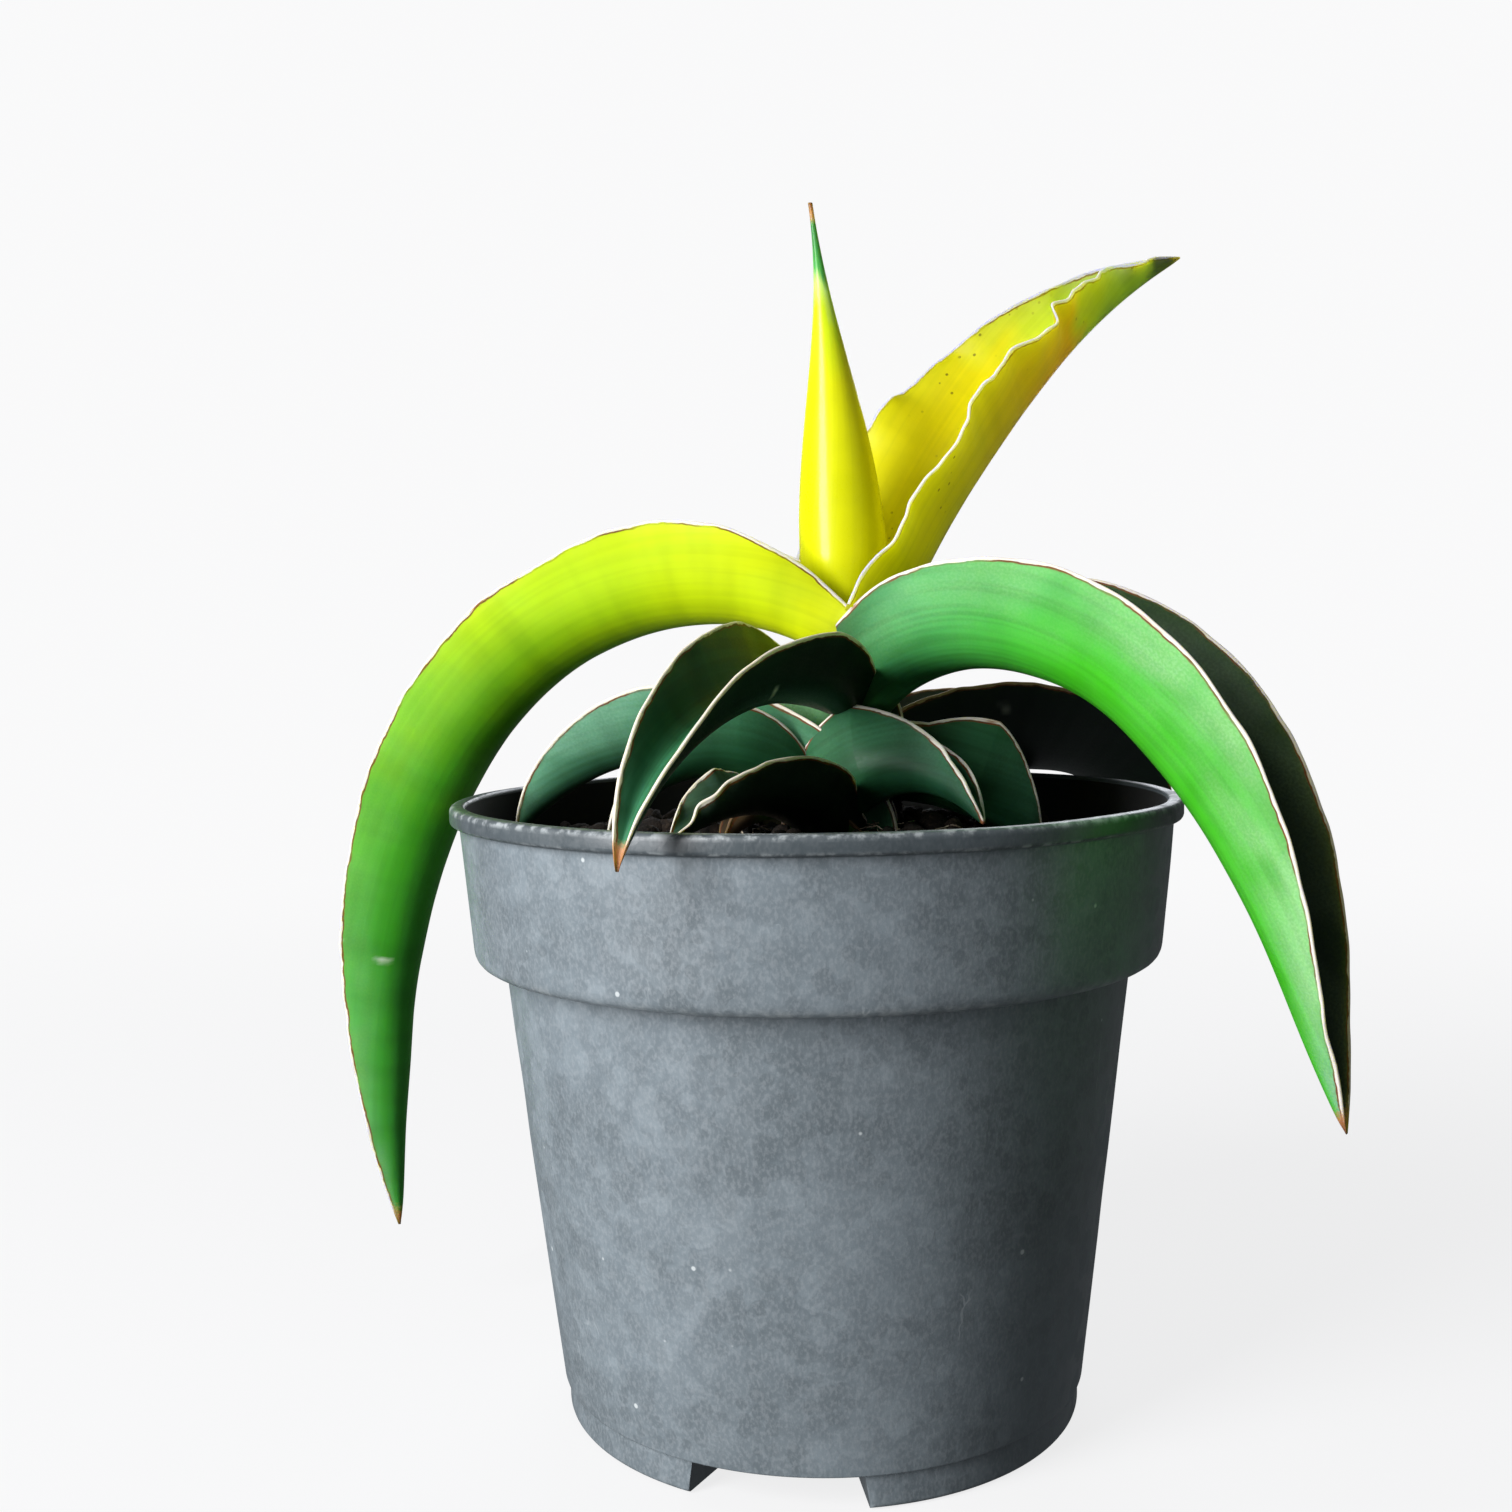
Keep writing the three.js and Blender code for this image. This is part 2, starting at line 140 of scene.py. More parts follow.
def value_noise(points, cell, seed):
    """Random values from -1 to 1 at the corners of cubes of one cell, blended by smoothstep."""
    table = np.random.default_rng(seed).uniform(-1, 1, (32, 32, 32))
    scaled = np.asarray(points, float) / cell
    corner = np.floor(scaled).astype(int)
    share = smoothstep(scaled - corner)
    total = 0
    for dx in (0, 1):
        for dy in (0, 1):
            for dz in (0, 1):
                at = (corner + (dx, dy, dz)) % 32
                weight = np.abs(1 - dx - share[..., 0]) * np.abs(1 - dy - share[..., 1])
                weight = weight * np.abs(1 - dz - share[..., 2])
                total = total + weight * table[at[..., 0], at[..., 1], at[..., 2]]
    return total


def line_noise(distance, cell, seed):
    """value_noise along one line."""
    distance = np.asarray(distance, float)
    return value_noise(np.stack([distance, 0 * distance + 0.5, 0 * distance + 0.5], -1), cell, seed)


def ring_faces(rows, columns, start=0):
    """Quads between neighbouring rows of a grid whose rows each close on themselves."""
    row, column = np.meshgrid(np.arange(rows - 1), np.arange(columns), indexing="ij")
    after = (column + 1) % columns
    quads = [row * columns + column, row * columns + after,
             (row + 1) * columns + after, (row + 1) * columns + column]
    return start + np.stack(quads, -1).reshape(-1, 4)


def end_fan(first, columns, pole, flip):
    """Triangles from a pole to a ring that starts at the given point."""
    column = np.arange(columns)
    after = (column + 1) % columns
    fan = [first + column, first + after, np.full(columns, pole)]
    return np.stack(fan[::-1] if flip else fan, -1)


def volume_of(points, triangles):
    """A sixth of the sum of a . (b x c) over the triangles: negative if they face inwards."""
    a, b, c = (points[triangles[:, i]] for i in range(3))
    return float(np.einsum("ij,ij->i", a, np.cross(b, c)).sum() / 6)


def skin(rings):
    """Points and faces of a closed skin over rings of points, with a fan at each end."""
    rows, columns = rings.shape[:2]
    points = np.concatenate([rings.reshape(-1, 3), rings[0].mean(0)[None], rings[-1].mean(0)[None]])
    quads = ring_faces(rows, columns)
    near_end = end_fan(0, columns, rows * columns, True)
    far_end = end_fan((rows - 1) * columns, columns, rows * columns + 1, False)
    triangles = np.concatenate([quads[:, :3], quads[:, [0, 2, 3]], near_end, far_end])
    faces = [quads, near_end, far_end]
    if volume_of(points, triangles) < 0:
        faces = [part[:, ::-1] for part in faces]
    return points, [face for part in faces for face in part.tolist()]


def make_piece(name, parts, material, replaces=(), values=None):
    """One object from (points, faces) parts in millimetres, with one number per point for each value."""
    points = []
    faces = []
    count = 0
    for part_points, part_faces in parts:
        points.append(part_points)
        faces += [[corner + count for corner in face] for face in part_faces]
        count += len(part_points)
    mesh = bpy.data.meshes.new(name)
    mesh.from_pydata((np.concatenate(points) * MM).tolist(), [], faces)
    mesh.polygons.foreach_set("use_smooth", np.ones(len(faces), bool))
    for key, numbers in (values or {}).items():
        layer = mesh.attributes.new(key, "FLOAT", "POINT")
        layer.data.foreach_set("value", np.asarray(numbers, np.float32))
    mesh.materials.append(material)
    mesh.update()
    piece = bpy.data.objects.new(name, mesh)
    bpy.context.scene.collection.objects.link(piece)
    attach(piece, "root")
    if replaces:
        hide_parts(*replaces)
    print(f"{name}: {len(mesh.vertices)} points, {len(mesh.polygons)} faces")
    return piece


print("helpers ready")

# %% [markdown]
# ## Working with materials
#
# Each finish is a small network of nodes that ends in one shader. A node could be added by hand each
# time, but the same few kinds come back, so a finish is an object with a short name for each kind. It
# keeps the colour so far, and every layer is laid over that. Colours are written as a designer writes
# them and turned into the linear numbers that the renderer multiplies.

# %% Material helpers
def linear(colour):
    """An sRGB hex colour as linear red, green, blue and alpha."""
    channels = [int(colour[i:i + 2], 16) / 255 for i in (1, 3, 5)]
    return tuple(v / 12.92 if v <= 0.04045 else ((v + 0.055) / 1.055) ** 2.4 for v in channels) + (1,)


def add_node(tree, kind, inputs=None, output=0, stops=None, **settings):
    """One output of a new node, with its settings, its inputs linked or set, and its colour stops."""
    node = tree.nodes.new("ShaderNode" + kind)
    for key, value in settings.items():
        setattr(node, key, value)
    for key, value in (inputs or {}).items():
        if isinstance(value, bpy.types.NodeSocket):
            tree.links.new(value, node.inputs[key])
        else:
            node.inputs[key].default_value = value
    if stops:
        elements = node.color_ramp.elements
        elements.remove(elements[1])
        elements[0].position = stops[0][0]
        elements[0].color = linear(stops[0][1])
        for place, colour in stops[1:]:
            elements.new(place).color = linear(colour)
    return node.outputs[output]


class Finish:
    """A material with one Principled shader, its even values set on the shader's own sockets."""

    def __init__(self, name, **even):
        self.material = bpy.data.materials.new(name)
        self.material.use_nodes = True
        self.tree = self.material.node_tree
        self.shader = self.tree.nodes["Principled BSDF"]
        for key, value in even.items():
            self.shader.inputs[key.replace("_", " ")].default_value = value

    def node(self, kind, inputs=None, output=0, **settings):
        return add_node(self.tree, kind, inputs, output, **settings)

    def place(self):
        """Where a point is, in metres, in the frame of its own object."""
        return self.node("TexCoord", output="Object")

    def stored(self, key):
        """A number stored on the mesh's points."""
        return self.node("Attribute", output="Fac", attribute_name=key)

    def noise(self, place, scale, detail=2.0, **inputs):
        return self.node("TexNoise", {"Vector": place, "Scale": scale, "Detail": detail, **inputs})

    def math(self, operation, a, b=0.5, **settings):
        return self.node("Math", {0: a, 1: b}, operation=operation, **settings)

    def times(self, a, b):
        return self.math("MULTIPLY", a, b)

    def plus(self, a, b):
        return self.math("ADD", a, b)

    def ranged(self, value, low, high, to_low=0.0, to_high=1.0, way="SMOOTHSTEP"):
        """The value's way from low to high, carried over to another range and held at its ends."""
        return self.node("MapRange", {0: value, 1: low, 2: high, 3: to_low, 4: to_high},
                         interpolation_type=way)

    def ramp(self, share, stops):
        """The colour at a share of the way along a row of colours."""
        return self.node("ValToRGB", {0: share}, stops=stops)

    def blend(self, share, below, above, mode="MIX"):
        """Above laid over below by the given share."""
        return self.node("Mix", {0: share, 6: below, 7: above}, 2, data_type="RGBA", blend_type=mode)

    def lay(self, share, colour, mode="MIX"):
        """Lays a hex colour, or a colour from another node, over the colour so far."""
        above = linear(colour) if isinstance(colour, str) else colour
        self.colour = self.blend(share, self.colour, above, mode)

    def done(self, rough=None, relief=None, strength=0.5, depth=0.0001):
        """The material, once its colour, roughness and relief (depth in metres) reach the shader."""
        links = {"Base Color": self.colour}
        if rough is not None:
            links["Roughness"] = rough
        if relief is not None:
            links["Normal"] = self.node("Bump", {"Strength": strength, "Distance": depth, "Height": relief})
        for key, socket in links.items():
            self.tree.links.new(socket, self.shader.inputs[key])
        return self.material


print("material helpers ready")

# %% [markdown]
# ## The shape of a leaf
#
# A sansevieria leaf is a gutter: thick along its keel, thinner towards two horny edges. It could be
# sculpted, but a formula keeps all eleven alike and lets each bend in its own way. The midrib sweeps
# from one slope to another, the section folds up either side of it, and the edges ripple a little.
# Behind its foot the leaf dives down beside the stem, as a real one clasps it.
#
# Each point also remembers where it is on the leaf, which the colours follow later.

# %% Leaf surface
leaf_thickness = 2.6
margin_share = 0.28
keel_share = 0.6
tip_half_width = 0.35
bead_radius = 0.27
bead_reach = 0.7
leaf_rings = 260
face_columns = 36
bead_points = 5
clasp_pitch = 82
clasp_bend = 7
section_steps = 24      # steps that a section's slope is added up in
narrow_half = 3         # mm; a leaf thins as its half width comes down to this
swell_height = 0.25     # mm that the faces swell and sink by
swell_length = 14       # mm from one swelling to the next


def eased(three, t):
    """The first value at 0, the second halfway and the third at 1, with smoothstep between them."""
    a, b, c = three
    return a + (b - a) * smoothstep(2 * t) + (c - b) * smoothstep(2 * t - 1)


def leaf_half_width(leaf, t):
    """A quarter sine up from the foot to the broadest place, then 1 - x^taper down to the tip."""
    rise = leaf["base"] + (1 - leaf["base"]) * np.sin(np.pi / 2 * np.minimum(1, t / leaf["broad"]))
    drop = 1 - np.clip((t - leaf["broad"]) / (1 - leaf["broad"]), 0, 1) ** leaf["taper"]
    return np.where(t < leaf["broad"], rise, drop) * leaf["width"] / 2 + tip_half_width


def leaf_midrib(leaf, rings=leaf_rings):
    """Distances, shares, points, sideways and upward directions along the midrib.

    Its slope goes from rise to fall by 1 - (1 - t)^bend, and the point adds up the directions."""
    finer = 8
    clasp = leaf.get("clasp", 10)
    start = -(leaf["sheath"] + clasp)
    distance = np.linspace(start, leaf["length"], rings * finer + 1)
    t = np.clip(distance / leaf["length"], 0, 1)
    pitch = leaf["rise"] + (leaf["fall"] - leaf["rise"]) * (1 - (1 - t) ** leaf["bend"])
    behind = np.maximum(0, -leaf["sheath"] - distance)
    pitch = np.radians(pitch + (clasp_pitch - pitch) * smoothstep(behind / clasp_bend))
    heading = np.radians(leaf["heading"] + leaf["veer"] * t)
    along = np.stack([np.cos(pitch) * np.cos(heading), np.cos(pitch) * np.sin(heading),
                      np.sin(pitch)], -1)
    step = distance[1] - distance[0]
    point = np.concatenate([np.zeros((1, 3)), np.cumsum((along[1:] + along[:-1]) / 2 * step, 0)])
    foot = np.array([np.interp(0, distance, point[:, i]) for i in range(3)])
    point = point - foot + np.array(leaf["foot"]) + (0, 0, soil_level)
    side = np.stack([-np.sin(heading), np.cos(heading), 0 * heading], -1)
    over = np.cross(along, side)
    twist = np.radians(leaf["roll"][0] + (leaf["roll"][1] - leaf["roll"][0]) * t)[:, None]
    rolled = side * np.cos(twist) + over * np.sin(twist)
    raised = over * np.cos(twist) - side * np.sin(twist)
    return [values[::finer] for values in (distance, t, point, rolled, raised)]


def section_loop():
    """Once round the section: share across, and how far each point is pushed by face and by edge."""
    across = np.sin(np.pi / 2 * np.linspace(-1, 1, face_columns + 1))
    turn = np.pi * np.arange(1, bead_points) / bead_points
    ones = np.ones_like(across)
    edge = np.ones_like(turn)
    share = np.concatenate([across, edge, across[::-1], -edge])
    face = np.concatenate([-ones, -np.cos(turn), ones, np.cos(turn)])
    push = np.concatenate([0 * ones, np.sin(turn), 0 * ones, np.sin(turn)])
    return share, face, push


def leaf_skin(leaf, seed):
    """Rings of points round the leaf and the numbers that its colours follow.

    At u across, the section slopes by fold * sin(90 deg * u / keel_share), added up from the keel.
    The edge ripples by a random line of bumps that grows with u^4. A tuck (side, depth, run) presses
    one half back at the foot, where the next leaf out wraps round it."""
    distance, t, point, side, raised = leaf_midrib(leaf)
    u, face, push = section_loop()
    half = leaf_half_width(leaf, t)
    ragged = 1 + 0.012 * line_noise(distance, 3.1, seed) + 0.02 * line_noise(distance, 11, seed + 1)
    left, right = leaf.get("uneven", (1, 1))
    half = (half * ragged)[:, None] * np.where(u > 0, left, right)
    fold = np.radians(eased(leaf["fold"], t))[:, None]
    fine = (np.arange(section_steps) + 0.5) / section_steps
    keel_way = np.minimum(1, np.abs(u)[None, :, None] * fine / keel_share)
    slopes = fold[..., None] * np.sin(np.pi / 2 * keel_way)
    across = half * np.cos(slopes).mean(-1) * u
    height = half * np.sin(slopes).mean(-1) * np.abs(u)
    slope = fold * np.sin(np.pi / 2 * np.minimum(1, np.abs(u) / keel_share))
    sign = np.sign(u)
    body = leaf_thickness / 2 * half / (half + narrow_half) * (1 - (1 - margin_share) * u ** 2)
    edge = (1 - np.abs(u)) * half
    bead = np.exp(-(edge / bead_reach) ** 2)
    bead_here = bead_radius * np.minimum(1, half / narrow_half) * leaf.get("bead", 1)
    thick = body * (1 - bead) + bead_here * bead

    def edge_bumps(number):
        """Two sizes of random bumps along one edge."""
        large = line_noise(distance, length, number)
        return (large + 0.5 * line_noise(distance, length / 2.3, number + 1))[:, None]

    amount, length = leaf["ripple"]
    room = smoothstep(t / 0.12) * smoothstep((1 - t) / 0.15)
    bumps = np.where(u > 0, edge_bumps(seed + 2), edge_bumps(seed + 4))
    ripple = amount * room[:, None] * bumps * np.abs(u) ** 4
    place = np.stack([across, 0 * across + distance[:, None], 0 * across], -1)
    swell = swell_height * value_noise(place, swell_length, seed + 6)
    shift = ripple + swell * (1 - np.abs(u)) + thick * face
    across = across + shift * (-np.sin(slope) * sign) + thick * push * (np.cos(slope) * sign)
    height = height + shift * np.cos(slope) + thick * push * np.sin(slope)
    rings = point[:, None] + across[..., None] * side[:, None] + height[..., None] * raised[:, None]
    near_side, depth, run = leaf.get("tuck", (1, 0, 1))
    rings[..., 1] += depth * np.maximum(0, near_side * u) * (1 - smoothstep(distance / run))[:, None]
    full = np.ones_like(half)
    values = {
        "along": distance[:, None] / leaf["length"] * full,
        "across": u * full,
        "inside": (face + 1) / 2 * full,
        "edge_mm": edge * full,
        "length_mm": distance[:, None] * full,
        "width_mm": u * half * full,
    }
    return rings, values


def with_ends(values):
    """Each stored number as one row for skin(), with a mean for the middle of either end."""
    return {key: np.concatenate([v.reshape(-1), [v[0].mean()], [v[-1].mean()]])
            for key, v in values.items()}


print("leaf section has", len(section_loop()[0]), "points")

# %% [markdown]
# ## The skin of a leaf
#
# A living sansevieria leaf has a waxy skin over wet flesh. It is satin rather than shiny, with fine
# veins along it, faint bands across it and a dusty bloom in places. The edge is a strip of horn,
# cream with a rust-coloured line under it, and the point dries brown. Young leaves are yellow.
#
# All of that follows the leaf, so the network reads the numbers stored on its points: colours run
# along it, the outer face takes a keel colour that is partly deeper green and partly painted shade,
# the bloom thickens towards its edges and is partly painted highlight there, and the edge colours go
# by the distance in millimetres. A little light passes through the flesh.

# %% Leaf skin material
vein_width = 0.9        # mm between veins
vein_run = 45.0         # mm that a vein keeps its shade
band_run = 6.0          # mm from one faint cross band to the next
horn_width = 0.16       # mm of cream edge on each face
rust_width = 0.42       # mm to the far side of the rust line
grain_size = 0.4        # mm between grains of bloom; real ones are finer and would not show
leaf_numbers = ("along", "across", "inside", "edge_mm", "length_mm", "width_mm", "scar")


def living_leaf(name, outside, inside, bloom=0.3, bloom_colour="#b9dcb0", keel="#000000",
                keel_shade=0.0, specks=0.0, bands=0.3, veins=0.3, dry_tip=0.965, rough=0.42,
                horn="#e9e0cd", glow=0.15, depth=0.003, wax=0.0):
    """Waxy leaf skin, grown. Colours run along it, one set outside the gutter and one inside."""
    leaf = Finish(name, Subsurface_Weight=glow, Subsurface_Radius=(1.0, 1.0, 0.15),
                  Subsurface_Scale=depth, Specular_IOR_Level=0.2, IOR=1.43, Coat_Weight=wax,
                  Coat_Roughness=0.12)
    times, plus, ranged = leaf.times, leaf.plus, leaf.ranged
    along, across, inner, edge_mm, length_mm, width_mm, scar = (leaf.stored(key) for key in leaf_numbers)

    def noise(x, y, layer, detail=2.0):
        """Noise over the leaf with cells of x by y mm; the layer keeps two patterns apart."""
        level = leaf.node("Math", {0: inner, 1: 7.0, 2: layer}, operation="MULTIPLY_ADD")
        cell = {0: leaf.math("DIVIDE", width_mm, x), 1: leaf.math("DIVIDE", length_mm, y), 2: level}
        return leaf.noise(leaf.node("CombineXYZ", cell), 1.0, detail)

    blotch = noise(9, 16, 3.1)
    vein = noise(vein_width, vein_run, 11.7, 1.0)
    band = noise(40, band_run, 5.3)
    grain = noise(grain_size, grain_size, 19.0, 3.0)

    place = plus(along, ranged(blotch, 0.3, 0.7, -0.035, 0.035))
    leaf.colour = leaf.blend(inner, leaf.ramp(place, outside), leaf.ramp(place, inside))
    from_keel = leaf.math("ABSOLUTE", across)
    # Towards the keel the outer face takes the keel colour: partly the leaf's deeper green there, partly
    # painted shade on the underside of the gutter.
    keel_tone_and_shade = times(ranged(plus(from_keel, ranged(blotch, 0.3, 0.7, -0.08, 0.08)), 0.9, 0.3), keel_shade)
    outer_only = times(ranged(inner, 0.6, 0.4), ranged(along, 0.05, 0.4))
    leaf.lay(times(keel_tone_and_shade, outer_only), keel)
    leaf.lay(ranged(band, 0.4, 0.7, 0.0, bands), "#4f7a3a", "MULTIPLY")
    leaf.lay(ranged(vein, 0.35, 0.65, 0.0, veins), "#8fa86a", "MULTIPLY")
    bloom_and_highlight = times(ranged(grain, 0.35, 0.7, 0.65, 1.0), ranged(blotch, 0.35, 0.6, 0.35, 1.0))
    # Towards the edges and down the leaf the pale bloom is partly real bloom and partly painted highlight
    # on the raised edge half.
    near_edge = ranged(from_keel, 0.2, 0.95, 0.1, 1.0)
    bloom_and_highlight = times(bloom_and_highlight, times(near_edge, ranged(along, 0.1, 0.6, 0.45, 1.0)))
    bloom_and_highlight = times(bloom_and_highlight, ranged(inner, 0.6, 0.4, 0.3, 1.0))
    leaf.lay(times(bloom_and_highlight, bloom), bloom_colour)
    if specks:
        spot = leaf.node("CombineXYZ", {0: width_mm, 1: length_mm, 2: inner})
        from_spot = leaf.node("TexVoronoi", {"Vector": spot, "Scale": 0.5})
        leaf.lay(times(ranged(from_spot, 0.17, 0.1), ranged(blotch, 0.5, 0.62, 0.0, specks)), "#4d4312")
    leaf.lay(scar, "#ece9dc")

    edge = plus(edge_mm, ranged(noise(1.6, 2.6, 2.0), 0.3, 0.7, -0.12, 0.12))
    patchy = ranged(noise(30, 9, 8.0), 0.38, 0.55, 0.25, 0.95)
    leaf.lay(times(ranged(edge, rust_width + 0.14, rust_width - 0.06), patchy), "#6e3a22")
    worn = leaf.blend(ranged(noise(30, 6, 31.0), 0.62, 0.74), linear(horn), linear("#9a6a4a"))
    leaf.lay(ranged(edge, horn_width + 0.08, horn_width - 0.06), worn)
    uneven = plus(along, ranged(grain, 0.3, 0.7, -0.004, 0.004))
    parched = leaf.ramp(along, [(0.94, "#c39a72"), (0.98, "#a8724a"), (1.0, "#5b3220")])
    leaf.lay(ranged(uneven, dry_tip - 0.012, dry_tip + 0.008), parched)

    gloss = ranged(times(plus(bloom_and_highlight, grain), 0.5), 0.1, 0.6, rough - 0.06, rough + 0.16)
    return leaf.done(gloss, plus(times(vein, 0.7), times(grain, 0.3)), 0.35, 0.00012)


def make_leaf(name, seed, material, slot, scars=(), **leaf):
    """One leaf piece. A scar is (along, across, length mm, width mm): a pale spot that fades outwards."""
    rings, values = leaf_skin(leaf, seed)
    scar = 0 * values["along"]
    for along, across, long, wide in scars:
        dx = (values["width_mm"] - across * leaf["width"] / 2) / wide
        dy = (values["length_mm"] - along * leaf["length"]) / long
        scar = np.maximum(scar, smoothstep(1.6 - np.hypot(dx, dy)) * (values["inside"] < 0.5))
    values["scar"] = scar
    return make_piece("grown_" + name, [skin(rings)], material, [name], with_ends(values))


print("leaf material ready")

# %% [markdown]
# ## The leaves
#
# Eleven leaves stand on the stem, the young yellow ones at the top and the dark old ones near the
# soil. Each call gives where the keel leaves the stem, which way it heads, how it bends, how wide it
# is and how its gutter folds. The oldest is only a withered stub.

# %% Long left leaf
yellow_green = living_leaf(
    "living_leaf_yellow_green",
    outside=[(0.0, "#d2dc0c"), (0.14, "#cbe00a"), (0.3, "#badc0c"), (0.42, "#90c81e"),
             (0.54, "#55aa2c"), (0.68, "#429a3c"), (0.85, "#4a9650"), (0.97, "#48885a")],
    inside=[(0.0, "#dede20"), (0.4, "#8fbf20"), (0.7, "#2f6e2a"), (1.0, "#2b5c38")],
    bloom=0.12, bloom_colour="#b8e070", keel="#2c8a08", keel_shade=0.7, bands=0.15, veins=0.1,
    dry_tip=0.985, glow=0.8)
make_leaf(
    "long_left_leaf", 21, yellow_green, "yellow_green_leaf",
    scars=[(0.685, 0.75, 0.3, 1.3), (0.7, 0.28, 0.28, 1.6)],
    foot=(3.4, -3.5, 32.9), heading=156.6, veer=2.4, rise=31.9, fall=-89.3, bend=1.97, length=170.5,
    width=38.4, broad=0.16, base=0.58, taper=2.44, fold=(64, 60, 58), roll=(6.7, 8.3), sheath=1,
    ripple=(0.5, 9), bead=0.9, clasp=0, tuck=(1, 4, 18))

# %% Long right leaf
bloom_green = living_leaf(
    "living_leaf_green_with_bloom",
    outside=[(0.0, "#245c2c"), (0.06, "#35844a"), (0.16, "#419a50"), (0.3, "#46a844"),
             (0.6, "#4fac40"), (0.85, "#5cb058"), (0.97, "#4f9a78")],
    # The inside is nearly black: partly the darker green of the upper face, partly painted shade down in
    # the gutter.
    inside=[(0.0, "#1d4216"), (0.3, "#143012"), (1.0, "#0d200e")],
    bloom=0.5, bloom_colour="#b5dfa8", keel="#38b402", keel_shade=0.95, bands=0.12,
    dry_tip=0.975, glow=0.4)
make_leaf(
    "long_right_leaf", 33, bloom_green, "green_leaf",
    scars=[(0.83, -0.9, 2.2, 0.35), (0.74, -0.86, 0.3, 1.2), (0.93, -0.8, 2.6, 0.3), (0.2, 0.2, 0.5, 0.5)],
    foot=(11.3, -4.3, 24.1), heading=-38.7, veer=1, rise=44.3, fall=-69, bend=2.43, length=113,
    width=40.2, broad=0.36, base=0.72, taper=1.88, fold=(71.6, 69, 46.8), roll=(-7, -3.3), sheath=9,
    ripple=(0.7, 12), bead=0.9, clasp=5)

# %% Upper right leaf
young_yellow = living_leaf(
    "living_leaf_young_yellow",
    outside=[(0.0, "#d0d80c"), (0.3, "#d4cf0a"), (0.5, "#e0c60a"), (0.62, "#f0c40f"), (0.7, "#c8d83a"),
             (0.82, "#b4d05a"), (0.9, "#93b062"), (1.0, "#566a48")],
    inside=[(0.0, "#dcd40a"), (0.25, "#e6dc06"), (0.56, "#f0da06"), (0.66, "#cfe23a"), (0.82, "#b5d860"),
            (0.92, "#98c070"), (1.0, "#4f6243")],
    bloom=0.1, bloom_colour="#f4ec8a", specks=0.8, bands=0.1, veins=0.1, dry_tip=0.985,
    horn="#efe9d2", glow=0.95, depth=0.007)
make_leaf(
    "upper_right_leaf", 47, young_yellow, "young_leaf",
    foot=(11.3, 1.7, 33.6), heading=32, veer=-3, rise=63, fall=23, bend=0.74, length=101.5,
    width=40.6, broad=0.39, base=1.05, taper=1.06, fold=(49, 53, 95), roll=(-10, 20), sheath=1,
    ripple=(2.4, 8), uneven=(1, 1.14), clasp=0, tuck=(-1, 11, 34))

# %% Dark leaf at the front left, and the back right leaf with painted shadow
dark_green = living_leaf(
    "living_leaf_dark_green",
    outside=[(0.0, "#0a280e"), (0.3, "#061e0a"), (0.7, "#0a2a14"), (0.95, "#1a4426")],
    inside=[(0.0, "#5a7020"), (0.2, "#38642c"), (0.6, "#2a5f35"), (0.95, "#3b7a58")],
    bloom=0.05, bloom_colour="#6fa585", dry_tip=0.955)
make_leaf(
    "front_left_leaf", 58, dark_green, "dark_leaf", scars=[(0.42, 0.35, 0.7, 0.5)],
    foot=(3.9, -5.4, 23.4), heading=240.6, veer=1.2, rise=15.7, fall=-78.8, bend=0.5, length=73,
    width=27.5, broad=0.26, base=0.6, taper=1.5, fold=(57, 70, 66), roll=(-4.3, -12), sheath=3,
    ripple=(0.45, 10), bead=1.1)
# The back right leaf's outside is its own dark green deepened to near black by painted shadow on its near
# half.
green_with_painted_shadow = living_leaf(
    "living_leaf_dark_with_painted_shadow",
    outside=[(0.0, "#06180a"), (0.5, "#082010"), (1.0, "#0f2c18")],
    inside=[(0.0, "#3a3728"), (0.3, "#34402a"), (1.0, "#22402a")],
    bloom=0.08, bloom_colour="#6f8474", dry_tip=0.985, horn="#a98f72")
make_leaf(
    "back_right_leaf", 63, green_with_painted_shadow, "dark_leaf", scars=[(0.3, -0.8, 2.0, 0.4)],
    foot=(5.5, 5, 3.3), heading=43.8, veer=5.4, rise=19, fall=-92.8, bend=0.36, length=115,
    width=41, broad=0.35, base=0.71, taper=2, fold=(80, 58, 53.5), roll=(-18, 24.5), sheath=1,
    ripple=(0.4, 12))

# %% Blue-green leaves low on the stem
# The dark keel colours of these leaves are partly a deeper green and partly painted shade on the gutter's
# underside.
blue_green = living_leaf(
    "living_leaf_blue_green",
    outside=[(0.0, "#35704a"), (0.4, "#4b8a64"), (0.8, "#4f8f6a"), (1.0, "#3f7656")],
    inside=[(0.0, "#2f6038"), (0.5, "#3d7356"), (1.0, "#35684e")],
    bloom=0.35, bloom_colour="#9cc7ae", keel="#173f22", keel_shade=0.5, dry_tip=0.985)
teal_green = living_leaf(
    "living_leaf_teal",
    outside=[(0.0, "#1c4a2a"), (0.35, "#2a6540"), (0.8, "#235a3e"), (1.0, "#1c4632")],
    inside=[(0.0, "#2a6a34"), (0.5, "#2a6446"), (1.0, "#235238")],
    bloom=0.14, bloom_colour="#8cc4a0", keel="#06240c", keel_shade=0.35, dry_tip=0.99, horn="#e6dfd0")
make_leaf(
    "back_left_leaf", 71, blue_green, "blue_green_leaf",
    foot=(1.5, 1.7, 8.3), heading=168.5, veer=-1.6, rise=39.9, fall=-47.9, bend=1.12, length=61,
    width=29.9, broad=0.34, base=0.8, taper=1.97, fold=(61, 56, 49), roll=(6.4, 11.2), sheath=1,
    ripple=(0.3, 12))
